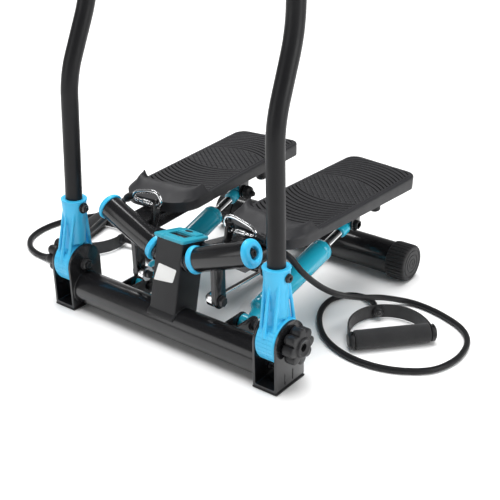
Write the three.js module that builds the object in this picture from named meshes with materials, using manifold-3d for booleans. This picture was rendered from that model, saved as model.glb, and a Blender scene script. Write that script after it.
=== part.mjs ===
// A twist stepper with a folding handlebar and a pair of resistance cords.
// Millimetres. +X is the machine's right, +Y runs from the front crossbar to the rear foot, +Z is up.
// The floor is z = 0, and the front crossbar's axis lies over y = 0.
import * as THREE from 'three';
import { mergeVertices } from 'three/addons/utils/BufferGeometryUtils.js';
import Module from 'manifold-3d';

const wasm = await Module();
wasm.setup();

// ---------------------------------------------------------------- driving dimensions
const GAP = 0.3;                      // air between pieces that touch
const RUN = 0.4;                      // radial clearance of a pin in its hole

const CROSSBAR = { radius: 28.5, wall: 2, z: 33.5, half: 195.2 };
const BRACKET = { inner: 195.5, outer: 240, plate: 4, y: 3, radius: 35, pivotZ: 76, footTop: 2.7 };
const FOLD = { x: 217.75, y: 3, z: 76 };
const STABILIZER = { radius: 30.3, wall: 2, y: 405, z: 34, half: 211 };
const REAR_CAP = { radius: 34, bore: 30.6, inner: 180, outer: 218, ribs: 30, ribDepth: 1.3 };
const POST = { half: 27.4, depth: 57, wall: 2, frontY: -19.9, baseZ: 47.6, slope: 0.2385, topZ: 173.8, bottomZ: 25 };
const SPINE = { half: 20, height: 30, startY: 62, startZ: 122, endY: 384, endZ: 57 };
const PIVOT = { at: [41.66, 21.75, 146.3], yaw: 4.0, rise: 20.26, shaft: 10, boss: 17, length: 113.6 };
const SLEEVE = { radius: 20.6, bore: 17.1, start: 2.5, end: 111 };
const PEDAL = { rear: [129.8, 443.2, 194.4], yaw: -3, pitch: 0.6, roll: 1.5, half: 71.7, length: 360 };
const SKIRT = { height: 24.5, frontHeight: 17.5, wall: 4, deck: 5, corner: 22, nose: 46 };
const TOE = { start: -281, foot: -306, footHalf: 57, crest: -318, crestHalf: 62, height: 17 };
const ARM = { half: 25, top: -21.4, bottom: -45, front: -408, rear: -14 };
const ROD_PIN = { at: [125, 338, 116], radius: 6, bore: 7.4 };
const CYLINDER = { base: [113, 58, 40], radius: 20, bore: 15.5, start: 34, end: 213, rod: 8, eye: 13.5 };
const LEVER = { x: 85, y: 25, z: 86, thick: 4, width: 26 };
const TIE = { x: 74, front: 25, rear: 172, z: 86, radius: 4, eye: 12.5 };
const ROCKER = { y: 172, z: 73, arm: 74, thick: 5 };
const UPRIGHT = { radius: 14.1, inner: 12.2, x: 212, y: 7.57, z: 193, lean: 0.037, rake: 0.044, foot: 128 };
const BAR = { bendZ: 402, backRake: 0.45, returnZ: 520, topRake: 0.1, jointZ: 700, topZ: 1052, corner: 62 };
const GRIP = { radius: 17.5, inner: 14.5, start: 14, end: 102 };
const SOCKET = { half: 17.7, drum: 35.6, collar: 21, collarZ: 168, topZ: 193, boltZ: 178 };
const KNOB = { radius: 27.5, lobe: 2.6, lobes: 8, inner: 243, outer: 267, bolt: 5 };
const ANCHOR = { x: 77, y: 66, holeZ: 194, thick: 5, barZ: 155 };
const CLIP = { y: 66, inner: 80, outer: 121, z: 204, end: 12, wire: 3.1, gate: 2.6, sleeve: 4.6 };
const CORD = { radius: 5, step: 26 };
const STRAP = { thick: 3, height: 25, z: 14.5, bow: 94.4 };
const HANDLE = { half: 73, foam: 16.2, foamHalf: 62, neck: 11, cap: 14.5, capLength: 9.6, z: 16.5 };

// ---------------------------------------------------------------- materials
const finish = (color, roughness, metalness = 0) =>
  new THREE.MeshStandardMaterial({ color, roughness, metalness });

const STEEL_BLACK = finish(0x1b1b1d, 0.25);
const TUBE_BLACK = finish(0x222224, 0.45);
const PEDAL_GREY = finish(0x3a3a3c, 0.7);
const CYAN = finish(0x34b4e4, 0.35);
const TEAL = finish(0x16809c, 0.22);
const CHROME = finish(0xd8d8da, 0.15, 1);
const RUBBER = finish(0x161617, 0.8);
const FOAM = finish(0x2a2a2b, 0.95);
const GLASS_DARK = finish(0x0c0e10, 0.15);

// ---------------------------------------------------------------- solid helpers
function solid(geometry) {
  const bare = geometry.clone();
  bare.deleteAttribute('normal');
  bare.deleteAttribute('uv');
  const merged = mergeVertices(bare, 1e-4);
  const faces = merged.index ? Array.from(merged.index.array) : [];
  const kept = [];
  for (let i = 0; i < faces.length; i += 3) {
    const [a, b, c] = faces.slice(i, i + 3);
    if (a !== b && b !== c && c !== a) kept.push(a, b, c);
  }
  return new wasm.Manifold(new wasm.Mesh({
    numProp: 3,
    vertProperties: Float32Array.from(merged.attributes.position.array),
    triVerts: Uint32Array.from(kept),
  }));
}

function geometryOf(manifold) {
  const mesh = manifold.getMesh();
  const geometry = new THREE.BufferGeometry();
  geometry.setAttribute('position', new THREE.BufferAttribute(mesh.vertProperties, 3));
  geometry.setIndex(new THREE.BufferAttribute(mesh.triVerts, 1));
  geometry.computeVertexNormals();
  return geometry;
}

const union = (...solids) => solids.reduce((sum, next) => sum.add(next));
const cut = (body, ...tools) => tools.reduce((left, tool) => left.subtract(tool), body);

function box(x0, x1, y0, y1, z0, z1) {
  const geometry = new THREE.BoxGeometry(x1 - x0, y1 - y0, z1 - z0);
  return solid(geometry.translate((x0 + x1) / 2, (y0 + y1) / 2, (z0 + z1) / 2));
}

// A matrix that carries local +Z onto a direction and the origin onto a point.
function aim(point, direction) {
  const turn = new THREE.Quaternion().setFromUnitVectors(
    new THREE.Vector3(0, 0, 1), new THREE.Vector3(...direction).normalize());
  return new THREE.Matrix4().compose(new THREE.Vector3(...point), turn, new THREE.Vector3(1, 1, 1));
}

// A cylinder between two points, or a cone when the radii differ.
function bar(from, to, radius, sides = 20, radiusTo = radius) {
  const a = new THREE.Vector3(...from);
  const b = new THREE.Vector3(...to);
  const length = a.distanceTo(b);
  const geometry = new THREE.CylinderGeometry(radiusTo, radius, length, sides);
  geometry.rotateX(Math.PI / 2).translate(0, 0, length / 2);
  return solid(geometry.applyMatrix4(aim(from, b.sub(a).toArray())));
}

// A cylinder along X.
const barX = (x0, x1, y, z, radius, sides = 20) => bar([x0, y, z], [x1, y, z], radius, sides);

// A solid of revolution about the line through a point; the profile is a list of [radius, height].
function turned(profile, matrix, sides = 20) {
  const geometry = new THREE.LatheGeometry(profile.map(([r, h]) => new THREE.Vector2(r, h)), sides);
  return solid(geometry.rotateX(Math.PI / 2).applyMatrix4(matrix));
}

// A flat outline drawn in Y and Z, given thickness along X from x0 to x1.
function plateX(points, x0, x1) {
  const shape = new THREE.Shape(points.map(([y, z]) => new THREE.Vector2(y, z)));
  const geometry = new THREE.ExtrudeGeometry(shape, { depth: x1 - x0, bevelEnabled: false });
  geometry.applyMatrix4(new THREE.Matrix4().makeBasis(
    new THREE.Vector3(0, 1, 0), new THREE.Vector3(0, 0, 1), new THREE.Vector3(1, 0, 0)));
  return solid(geometry.translate(x0, 0, 0));
}

// A flat outline drawn in X and Y, given height along Z.
function plateZ(shape, z0, z1, segments = 10) {
  const settings = { depth: z1 - z0, bevelEnabled: false, curveSegments: segments };
  return solid(new THREE.ExtrudeGeometry(shape, settings).translate(0, 0, z0));
}

const arcPoints = (y, z, radius, from, to, count) => Array.from({ length: count + 1 }, (_, i) => {
  const angle = THREE.MathUtils.degToRad(from + (to - from) * i / count);
  return [y + radius * Math.cos(angle), z + radius * Math.sin(angle)];
});

// A round tube swept along a path, hollow when an inner radius is given.
function swept(path, radius, steps, sides = 12, inner = 0) {
  const ring = (r, count) => Array.from({ length: count }, (_, i) => {
    const angle = 2 * Math.PI * i / count;
    return new THREE.Vector2(r * Math.cos(angle), r * Math.sin(angle));
  });
  const shape = new THREE.Shape(ring(radius, sides));
  if (inner) shape.holes.push(new THREE.Path(ring(inner, 8)));
  return solid(new THREE.ExtrudeGeometry(shape, { steps, extrudePath: path, bevelEnabled: false }));
}

// A path of straight runs joined by curved corners, each corner starting a set distance before its point.
function cornerPath(points, reach) {
  const path = new THREE.CurvePath();
  const v = points.map((p) => new THREE.Vector3(...p));
  let start = v[0];
  for (let i = 1; i < v.length - 1; i += 1) {
    const before = v[i].clone().add(v[i - 1].clone().sub(v[i]).setLength(reach));
    const after = v[i].clone().add(v[i + 1].clone().sub(v[i]).setLength(reach));
    path.add(new THREE.LineCurve3(start, before));
    path.add(new THREE.QuadraticBezierCurve3(before, v[i], after));
    start = after;
  }
  path.add(new THREE.LineCurve3(start, v[v.length - 1]));
  return path;
}

// Each paired piece is drawn once for the right side; the left one is its mirror image.
function mirrored(geometry) {
  const copy = geometry.clone().scale(-1, 1, 1);
  const index = copy.index.array;
  for (let i = 0; i < index.length; i += 3) {
    const swap = index[i + 1];
    index[i + 1] = index[i + 2];
    index[i + 2] = swap;
  }
  return copy;
}

// The origin is on the floor under the middle of the machine, so everything moves forward by this much.
const FRAME_SHIFT = -206.265;
const stepper = new THREE.Group();
stepper.name = 'stepper';
const machine = new THREE.Group();
machine.name = 'machine';
machine.position.y = FRAME_SHIFT;
stepper.add(machine);

function add(name, body, material) {
  const mesh = new THREE.Mesh(geometryOf(body), material);
  mesh.name = name;
  machine.add(mesh);
}

function addPair(name, body, material) {
  const right = geometryOf(body);
  for (const [side, geometry] of [['right', right], ['left', mirrored(right)]]) {
    const mesh = new THREE.Mesh(geometry, material);
    mesh.name = `${name}_${side}`;
    machine.add(mesh);
  }
}

// ---------------------------------------------------------------- shared places
const rad = THREE.MathUtils.degToRad;
const pivotAxis = new THREE.Vector3(
  Math.cos(rad(PIVOT.rise)) * Math.cos(rad(PIVOT.yaw)),
  Math.cos(rad(PIVOT.rise)) * Math.sin(rad(PIVOT.yaw)),
  Math.sin(rad(PIVOT.rise)));
const alongPivot = (t) => new THREE.Vector3(...PIVOT.at).addScaledVector(pivotAxis, t).toArray();
const pivotFrame = aim(PIVOT.at, pivotAxis.toArray());
const pivotBar = (t0, t1, radius, sides = 24) => bar(alongPivot(t0), alongPivot(t1), radius, sides);

// The pedal's own frame: x across, y rearward from its rear edge, z up from its tread.
const pedalFrame = new THREE.Matrix4().compose(
  new THREE.Vector3(...PEDAL.rear),
  new THREE.Quaternion().setFromEuler(
    new THREE.Euler(rad(PEDAL.pitch), rad(PEDAL.roll), rad(PEDAL.yaw), 'ZXY')),
  new THREE.Vector3(1, 1, 1));
const inPedalFrame = (body) => solid(geometryOf(body).applyMatrix4(pedalFrame));

const postFrontY = (z) => POST.frontY + (z - POST.baseZ) * POST.slope;
const crossbarSaddle = barX(-250, 250, 0, CROSSBAR.z, CROSSBAR.radius + GAP, 32);
const uprightAt = (z) => [
  UPRIGHT.x - UPRIGHT.lean * (z - UPRIGHT.z), UPRIGHT.y + UPRIGHT.rake * (z - UPRIGHT.z), z];

// ---------------------------------------------------------------- base frame
function cylinderClevis() {
  const [x, y, z] = CYLINDER.base;
  const plate = (x0) => plateX(
    [[18, z - 14], ...arcPoints(y, z, 15, -90, 90, 8), [18, z + 14]], x0, x0 + 4);
  const ears = union(plate(x - 13.5), plate(x + 9.5));
  return cut(ears, barX(x - 20, x + 20, y, z, 5.4, 16));
}

function crossbar() {
  const tube = barX(-CROSSBAR.half, CROSSBAR.half, 0, CROSSBAR.z, CROSSBAR.radius, 32);
  const right = cylinderClevis();
  const left = solid(mirrored(geometryOf(right)));
  const bore = barX(-CROSSBAR.half - 1, CROSSBAR.half + 1, 0, CROSSBAR.z, CROSSBAR.radius - CROSSBAR.wall, 24);
  return cut(union(tube, right, left), bore);
}

function bracket() {
  const { inner, outer, plate, y, radius, pivotZ, footTop } = BRACKET;
  const base = footTop + GAP;
  const outline = [[y - radius, base], [y + radius, base], ...arcPoints(y, pivotZ, radius, 0, 180, 16)];
  const ears = [inner, outer - plate].map((x) => plateX(outline, x, x + plate));
  const floor = box(inner, outer, y - radius, y + radius, base, base + plate);
  const weldNut = barX(inner - 8, inner + 1, FOLD.y, FOLD.z, 9, 6);
  const hole = barX(inner - 10, outer + 2, FOLD.y, FOLD.z, KNOB.bolt + RUN, 20);
  return cut(union(...ears, floor, weldNut), hole);
}

function bracketFoot() {
  const { inner, outer, y, radius, footTop } = BRACKET;
  return box(inner - 1.5, outer + 1.5, y - radius - 1.5, y + radius + 1.5, 0, footTop);
}

function leaningBox(half, front, back, z0, z1) {
  const edge = (offset, z) => [postFrontY(z) + offset, z];
  return plateX([edge(front, z0), edge(back, z0), edge(back, z1), edge(front, z1)], -half, half);
}

function anchorArm() {
  const { x, y, holeZ, thick, barZ } = ANCHOR;
  const arm = box(POST.half - 1, x + thick / 2, 49, 58, barZ - 5, barZ + 5);
  const tab = plateX(
    [[49, barZ - 5], [58, barZ - 5], ...arcPoints(y, holeZ, 10, -20, 170, 10), [49, barZ + 8]],
    x - thick / 2, x + thick / 2);
  return cut(union(arm, tab), barX(x - 5, x + 5, y, holeZ, 6.2, 16));
}

function pivotShaft() {
  const shaft = pivotBar(-26, 103, PIVOT.shaft);
  const boss = pivotBar(-26, -2.4, PIVOT.boss);
  const outside = box(POST.half - 1, 260, -100, 160, 0, 400);
  const thread = pivotBar(70, 104, 4.3, 16);
  return cut(union(shaft, boss).intersect(outside), thread);
}

function post() {
  const shell = leaningBox(POST.half, 0, POST.depth, POST.bottomZ, POST.topZ + 0.1);
  const top = leaningTopCutter(0);
  const hollow = leaningBox(
    POST.half - POST.wall, POST.wall, POST.depth - POST.wall, POST.bottomZ - 5, POST.topZ + 40);
  const tube = cut(shell, top, hollow);
  const sides = [pivotShaft(), anchorArm()];
  const left = sides.map((body) => solid(mirrored(geometryOf(body))));
  return cut(union(tube, ...sides, ...left), crossbarSaddle);
}

// Everything above a plane square to the post, starting a set height over its front top edge.
function postTopFrame(height) {
  const tilt = Math.atan(POST.slope);
  return new THREE.Matrix4()
    .makeTranslation(0, postFrontY(POST.topZ), POST.topZ)
    .multiply(new THREE.Matrix4().makeRotationX(-tilt))
    .multiply(new THREE.Matrix4().makeTranslation(0, 0, height));
}

function onPostTop(height, body) {
  return solid(geometryOf(body).applyMatrix4(postTopFrame(height)));
}

function leaningTopCutter(height) {
  return onPostTop(height, box(-80, 80, -60, 140, 0, 90));
}

function roundedRect(x0, x1, y0, y1, r) {
  const shape = new THREE.Shape();
  shape.moveTo(x0 + r, y0);
  shape.lineTo(x1 - r, y0);
  shape.absarc(x1 - r, y0 + r, r, -Math.PI / 2, 0);
  shape.lineTo(x1, y1 - r);
  shape.absarc(x1 - r, y1 - r, r, 0, Math.PI / 2);
  shape.lineTo(x0 + r, y1);
  shape.absarc(x0 + r, y1 - r, r, Math.PI / 2, Math.PI);
  shape.lineTo(x0, y0 + r);
  shape.absarc(x0 + r, y0 + r, r, Math.PI, Math.PI * 1.5);
  return shape;
}

const CAP = { half: 31.5, front: -5, back: 60, thick: 6, window: [-14, 14, 16, 35], button: [0, 45.5, 5.5] };

function postCap() {
  const plate = plateZ(roundedRect(-CAP.half, CAP.half, CAP.front, CAP.back, 5), GAP, CAP.thick, 4);
  const [x0, x1, y0, y1] = CAP.window;
  const window = box(x0, x1, y0, y1, -5, 20);
  const [bx, by, br] = CAP.button;
  const buttonHole = bar([bx, by, -5], [bx, by, 20], br + RUN, 20);
  return onPostTop(0, cut(plate, window, buttonHole));
}

function display() {
  const [x0, x1, y0, y1] = CAP.window;
  const screen = box(x0 + GAP, x1 - GAP, y0 + GAP, y1 - GAP, -9, CAP.thick - 2);
  return onPostTop(0, screen);
}

function button() {
  const [bx, by, br] = CAP.button;
  return onPostTop(0, bar([bx, by, -4], [bx, by, CAP.thick + 1.2], br, 20));
}

function spine() {
  const { half, height, startY, startZ, endY, endZ } = SPINE;
  const h = height / 2;
  const drop = (endZ - startZ) / (endY - startY);
  const profile = (inset) => {
    const y0 = startY - 20;
    const y1 = endY + 30;
    const z = (y) => startZ + drop * (y - startY);
    return [[y0, z(y0) - h + inset], [y1, z(y1) - h + inset], [y1, z(y1) + h - inset], [y0, z(y0) + h - inset]];
  };
  const tube = cut(plateX(profile(0), -half, half), plateX(profile(2), -half + 2, half - 2));
  const pin = bar([0, ROCKER.y, ROCKER.z - 4], [0, ROCKER.y, ROCKER.z + 18], 5, 20);
  const pinHead = bar([0, ROCKER.y, ROCKER.z - 7], [0, ROCKER.y, ROCKER.z - 3], 9, 20);
  const rearTube = barX(-60, 60, STABILIZER.y, STABILIZER.z, STABILIZER.radius + GAP, 32);
  const beyondRear = box(-60, 60, STABILIZER.y, 500, 0, 200);
  const postSide = leaningBox(POST.half + 20, -80, POST.depth + GAP, 0, 260);
  return cut(union(tube, pin, pinHead), rearTube, beyondRear, postSide);
}

function rearStabilizer() {
  const { radius, wall, y, z, half } = STABILIZER;
  return cut(barX(-half, half, y, z, radius, 32), barX(-half - 1, half + 1, y, z, radius - wall, 24));
}

function rearCap() {
  const { radius, bore, inner, outer, ribs, ribDepth } = REAR_CAP;
  const outline = Array.from({ length: ribs * 2 }, (_, i) => {
    const angle = Math.PI * i / ribs;
    const r = radius - (i % 2 ? ribDepth : 0);
    return [STABILIZER.y + r * Math.sin(angle), STABILIZER.z - r * Math.cos(angle)];
  });
  const body = plateX(outline, inner, outer);
  const socket = barX(inner - 1, STABILIZER.half + GAP, STABILIZER.y, STABILIZER.z, bore, 32);
  return cut(body, socket);
}

// ---------------------------------------------------------------- pedal pivots
function innerBushing() {
  const body = union(pivotBar(-2, 2.2, 23), pivotBar(1, 20, SLEEVE.bore - GAP));
  return cut(body, pivotBar(-4, 22, PIVOT.shaft + RUN, 24));
}

function endCap() {
  const start = SLEEVE.end + GAP;
  const profile = [
    [PIVOT.shaft + RUN, start - 20], [SLEEVE.bore - GAP, start - 20], [SLEEVE.bore - GAP, start],
    [22.9, start], [22.9, start + 4], [21, start + 8.5], [17.5, start + 10.5],
    [11, start + 10.5], [9.6, start + 2], [PIVOT.shaft + RUN, start + 2], [PIVOT.shaft + RUN, start - 20]];
  return turned(profile, pivotFrame);
}

function pivotBolt() {
  const face = 103.5;
  const profile = [[0, 78], [3.8, 78], [3.8, face], [9, face], [9, face + 2], [6.5, face + 2], [6.5, face + 8],
    [0, face + 8]];
  return turned(profile, pivotFrame, 16);
}

// The welded part that turns on each pivot: sleeve, lever and the arm under the pedal.
function pedalFrameWeldment() {
  const sleeve = pivotBar(SLEEVE.start, SLEEVE.end, SLEEVE.radius);
  const bore = pivotBar(SLEEVE.start - 2, SLEEVE.end + 2, SLEEVE.bore);
  const { half, top, bottom, front, rear } = ARM;
  const wall = 2.5;
  const channel = cut(
    box(-half, half, front, rear, bottom, top),
    box(-half + wall, half - wall, front + 22, rear + 5, bottom - 5, top - wall));
  const neck = inPedalFrame(channel);
  const { x, y, z, thick, width } = LEVER;
  const outline = [...arcPoints(y, z, width / 2, 180, 360, 10), [y + 13, z + 62], [y - 13, z + 62]];
  const web = plateX(outline, x, x + thick);
  const flange = box(x - 5, x + 1, y - width / 2, y - width / 2 + 3, z + 2, z + 64);
  const [px, py, pz] = ROD_PIN.at;
  const lugOutline = [...arcPoints(py, pz, 13, 180, 360, 8), [py + 15, pz + 60], [py - 15, pz + 60]];
  const lugs = [px - 13.5, px + 9.5].map((x0) => plateX(lugOutline, x0, x0 + 4));
  const lugTrim = inPedalFrame(box(-60, 60, -200, 0, top - 1, top + 80));
  const pinHole = barX(px - 20, px + 20, py, pz, ROD_PIN.radius + RUN, 16);
  const leverHole = barX(x - 2, x + 6, y, z, 4 + RUN, 16);
  const lugPair = cut(union(...lugs), lugTrim);
  return cut(union(sleeve, neck, web, flange, lugPair), bore, pinHole, leverHole);
}

function leverPin() {
  const { x, y, z, thick } = LEVER;
  const shank = barX(TIE.x - 9, x + thick + 3, y, z, 4, 16);
  const nut = barX(x + thick + GAP, x + thick + 7, y, z, 9, 8);
  const head = barX(TIE.x - 12, TIE.x - 6.2, y, z, 7, 6);
  return union(shank, nut, head);
}

// ---------------------------------------------------------------- pedals
function pedalOutline(inset) {
  const half = PEDAL.half - inset;
  const rear = -inset;
  const front = -PEDAL.length + inset;
  const { corner, nose } = SKIRT;
  const shape = new THREE.Shape();
  const r = corner - inset;
  const n = nose - inset;
  shape.moveTo(-half + r, rear);
  shape.absarc(-half + r, rear - r, r, Math.PI / 2, Math.PI);
  shape.absarc(-half + n, front + n, n, Math.PI, Math.PI * 1.5);
  shape.absarc(half - n, front + n, n, Math.PI * 1.5, Math.PI * 2);
  shape.absarc(half - r, rear - r, r, 0, Math.PI / 2);
  return shape;
}

// The raised guard round the toes: its outside leans in to the crest, and its inside is a rounded U.
function toeGuard() {
  const { start, foot, footHalf, crest, crestHalf, height } = TOE;
  const ahead = box(-90, 90, -400, start, -5, 60);
  const low = plateZ(pedalOutline(0), -1, 0.5, 6).intersect(ahead);
  const top = plateZ(roundedRect(-crestHalf, crestHalf, crest, start - 10, 8), height - 1, height, 3);
  const inside = plateZ(roundedRect(-footHalf, footHalf, foot, 40, 24), 0, 60, 5);
  return cut(wasm.Manifold.hull([low, top]), inside);
}

function pedal() {
  const { height, frontHeight, wall, deck } = SKIRT;
  const body = plateZ(pedalOutline(0), -height, 0, 6);
  const hollow = plateZ(pedalOutline(wall), -height - 5, -deck, 6);
  const under = plateX([[1, -height], [TOE.start, -frontHeight], [-400, -frontHeight], [-400, -60], [1, -60]], -90, 90);
  return inPedalFrame(union(cut(body, hollow, under), toeGuard()));
}

function bumper() {
  const at = new THREE.Vector3(3, -30, ARM.bottom - GAP).applyMatrix4(pedalFrame);
  const drop = at.z - 113;
  const profile = [[0, -drop], [8, -drop], [11, -drop + 3], [12, -4], [12, -1], [0, -1]];
  return turned(profile, aim([at.x, at.y, at.z], [0, 0, 1]), 20);
}

function heightKnob() {
  const [x, y, z] = ROD_PIN.at;
  const frame = aim([x, y, z], [-1, 0, 0]);
  const profile = [[0, -17], [ROD_PIN.radius, -17], [ROD_PIN.radius, 15], [12, 15], [13, 18], [12, 24],
    [6, 28], [6, 33], [3, 37], [0, 37]];
  const nut = barX(x + 14, x + 20, y, z, 8.5, 6);
  return union(turned(profile, frame, 18), nut);
}

// ---------------------------------------------------------------- hydraulic cylinders
const cylinderAxis = new THREE.Vector3(...ROD_PIN.at).sub(new THREE.Vector3(...CYLINDER.base));
const cylinderLength = cylinderAxis.length();
const cylinderFrame = aim(CYLINDER.base, cylinderAxis.toArray());

function barrel() {
  const { radius, bore, start, end, rod } = CYLINDER;
  const profile = [
    [0, 12], [7, 12], [9, 20], [12, 26], [15, start], [radius - 1.5, start], [radius, start + 3],
    [radius, end - 8], [radius - 4, end], [rod + RUN, end], [rod + RUN, end - 16], [bore, end - 18],
    [bore, start + 10], [0, start + 8]];
  const [x, y, z] = CYLINDER.base;
  const eye = barX(x - 8.3, x + 8.3, y, z, CYLINDER.eye, 20);
  const pinHole = barX(x - 12, x + 12, y, z, 5 + 1.1, 16);
  return cut(union(turned(profile, cylinderFrame, 22), eye), pinHole);
}

function rod() {
  const { bore, rod: r } = CYLINDER;
  const top = cylinderLength - 11;
  const profile = [[0, 96], [bore - 0.5, 96], [bore - 0.5, 108], [r, 108], [r, top], [0, top]];
  const [x, y, z] = ROD_PIN.at;
  const eye = barX(x - 7.6, x + 7.6, y, z, 12.5, 20);
  return cut(union(turned(profile, cylinderFrame, 18), eye), barX(x - 12, x + 12, y, z, ROD_PIN.bore, 16));
}

function clevisBolt() {
  const [x, y, z] = CYLINDER.base;
  const shank = barX(x - 19, x + 15, y, z, 5, 16);
  const head = barX(x + 13.8, x + 19, y, z, 8, 6);
  const nut = barX(x - 20, x - 13.8, y, z, 8, 6);
  return union(shank, head, nut);
}

// ---------------------------------------------------------------- coupling between the pedals
function tieRod() {
  const { x, front, rear, z, radius, eye } = TIE;
  const rearZ = ROCKER.z + 8;
  const shaft = bar([x, front + 8, z], [x, rear, rearZ], radius, 12);
  const ring = cut(barX(x - 5.5, x + 5.5, front, z, eye, 22), barX(x - 9, x + 9, front, z, 5, 16));
  const pin = bar([x, rear, ROCKER.z - 6], [x, rear, rearZ + 5], radius, 16);
  return cut(union(shaft, ring, pin), barX(x - 9, x + 9, front, z, 5, 16));
}

function rocker() {
  const { y, z, arm, thick } = ROCKER;
  const shape = new THREE.Shape();
  shape.absarc(arm, y, 12, -Math.PI / 2, Math.PI / 2);
  shape.lineTo(0, y + 17);
  shape.absarc(-arm, y, 12, Math.PI / 2, Math.PI * 1.5);
  shape.lineTo(0, y - 17);
  const plate = plateZ(shape, z - thick / 2, z + thick / 2, 8);
  const pinHole = (x, r) => bar([x, y, z - 10], [x, y, z + 10], r, 20);
  return cut(plate, pinHole(0, 5 + RUN), pinHole(arm, 6), pinHole(-arm, 6));
}

// ---------------------------------------------------------------- handlebar
function socket() {
  const { half, drum, collar, collarZ, topZ, boltZ } = SOCKET;
  const x0 = FOLD.x - half;
  const x1 = FOLD.x + half;
  const hub = barX(x0, x1, FOLD.y, FOLD.z, drum, 36);
  const core = cut(
    bar(uprightAt(84), uprightAt(topZ), 17.4, 24),
    box(x0 - 30, x0, -60, 60, 0, 114), box(x1, x1 + 30, -60, 60, 0, 114));
  const ring = bar(uprightAt(collarZ), uprightAt(topZ), collar, 28);
  const fin = [[-28, 84], [34, 84], [31, 112], [27, 168], [-12, 168], [-24, 112]];
  const fins = [x0 + 0.2, FOLD.x - 2, x1 - 5.2].map((x) => plateX(fin, x, x + 4));
  const cheek = plateX([[-20, 84], [28, 84], [22, 150], [-7, 150]], x0 + 2, x1 - 3);
  const hole = barX(x0 - 1, x1 + 1, FOLD.y, FOLD.z, KNOB.bolt + RUN, 20);
  const bore = bar(uprightAt(UPRIGHT.foot - 1), uprightAt(topZ + 20), UPRIGHT.radius + GAP, 24);
  const crossHole = barX(180, 250, uprightAt(boltZ)[1], boltZ, 4 + RUN, 16);
  return cut(union(hub, core, ring, ...fins, cheek), hole, bore, crossHole);
}

const topOf = (z) => {
  const lower = uprightAt(Math.min(z, BAR.bendZ));
  const back = Math.max(0, Math.min(z, BAR.returnZ) - BAR.bendZ) * BAR.backRake;
  const high = Math.max(0, z - BAR.returnZ) * BAR.topRake;
  return [UPRIGHT.x - UPRIGHT.lean * (z - UPRIGHT.z), lower[1] + back + high, z];
};

function upright() {
  const points = [topOf(UPRIGHT.foot), topOf(BAR.bendZ), topOf(BAR.returnZ), topOf(BAR.jointZ)];
  const tube = swept(cornerPath(points, 34), UPRIGHT.radius, 20, 14, UPRIGHT.inner);
  const crossHole = barX(180, 250, uprightAt(SOCKET.boltZ)[1], SOCKET.boltZ, 4 + RUN, 16);
  return cut(tube, crossHole);
}

function socketBolt() {
  const y = uprightAt(SOCKET.boltZ)[1];
  const x = uprightAt(SOCKET.boltZ)[0];
  const z = SOCKET.boltZ;
  const shank = barX(x - 31, x + 22, y, z, 4, 16);
  const head = barX(x + 21.6, x + 26, y, z, 7, 16);
  const washer = barX(x - 23.4, x - 21.6, y, z, 8.5, 16);
  const nut = barX(x - 28, x - 23, y, z, 6.5, 6);
  return union(shank, head, washer, nut);
}

function topBar() {
  const { jointZ, topZ, corner } = BAR;
  const right = topOf(jointZ + GAP);
  const cornerRight = topOf(topZ);
  const flip = ([x, y, z]) => [-x, y, z];
  const points = [right, cornerRight, flip(cornerRight), flip(right)];
  const hoop = swept(cornerPath(points, corner), UPRIGHT.radius, 30, 14, UPRIGHT.inner);
  const spigot = bar(topOf(jointZ - 60), topOf(jointZ + 20), UPRIGHT.inner - 1.3, 14);
  const plug = bar(topOf(jointZ + 1), topOf(jointZ + 20), UPRIGHT.inner + 0.8, 14);
  const butt = union(spigot, plug);
  const buttLeft = solid(mirrored(geometryOf(butt)));
  const [, y, z] = topOf(topZ);
  const drain = bar([0, y, z - 20], [0, y, z], 2, 12);
  return cut(union(hoop, butt, buttLeft), drain);
}

function topGrip() {
  const [, y, z] = topOf(BAR.topZ);
  const { radius, inner, start, end } = GRIP;
  return cut(barX(start, end, y, z, radius, 24), barX(start - 1, end + 1, y, z, inner, 16));
}

function foldKnob() {
  const { radius, lobe, lobes, inner, outer, bolt } = KNOB;
  const count = lobes * 5;
  const outline = Array.from({ length: count }, (_, i) => {
    const angle = 2 * Math.PI * i / count;
    const r = radius + lobe * Math.cos(lobes * angle);
    return [FOLD.y + r * Math.cos(angle), FOLD.z + r * Math.sin(angle)];
  });
  const star = plateX(outline, inner, outer);
  const hub = barX(BRACKET.outer + 0.5, inner + 1, FOLD.y, FOLD.z, 16, 24);
  const stud = barX(BRACKET.inner - 11, inner + 1, FOLD.y, FOLD.z, bolt, 20);
  const recess = barX(outer - 9, outer + 1, FOLD.y, FOLD.z, 6, 20);
  return cut(union(star, hub, stud), recess);
}

// ---------------------------------------------------------------- resistance cords
function carabiner() {
  const { y, inner, outer, z, end, wire } = CLIP;
  const nose = 7.5;
  const points = [
    [inner + 4, y, z - end], [inner - 1, y, z - end], [inner - 9, y, z - 8], [inner - end, y, z],
    [inner - 7, y, z + 9], [inner + 4, y, z + 11.5], [outer - 8, y, z + 5.5], [outer + 3, y, z + 1],
    [outer + nose, y, z - 5], [outer + 3, y, z - 10.5], [outer - 3, y, z - 11]];
  const curve = new THREE.CatmullRomCurve3(points.map((p) => new THREE.Vector3(...p)), false, 'centripetal');
  return swept(curve, wire, 26, 8);
}

function carabinerGate() {
  const { y, inner, outer, z, end, gate, sleeve } = CLIP;
  const x0 = inner + 4 + 0.4;
  const x1 = outer - 3 - 1.4;
  const low = z - end;
  const wire = bar([x0, y, low], [x1, y, low + 1], gate, 12);
  return union(wire, bar([x0 + 7, y, low + 0.2], [x1 - 8, y, low + 0.8], sleeve, 12));
}

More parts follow.
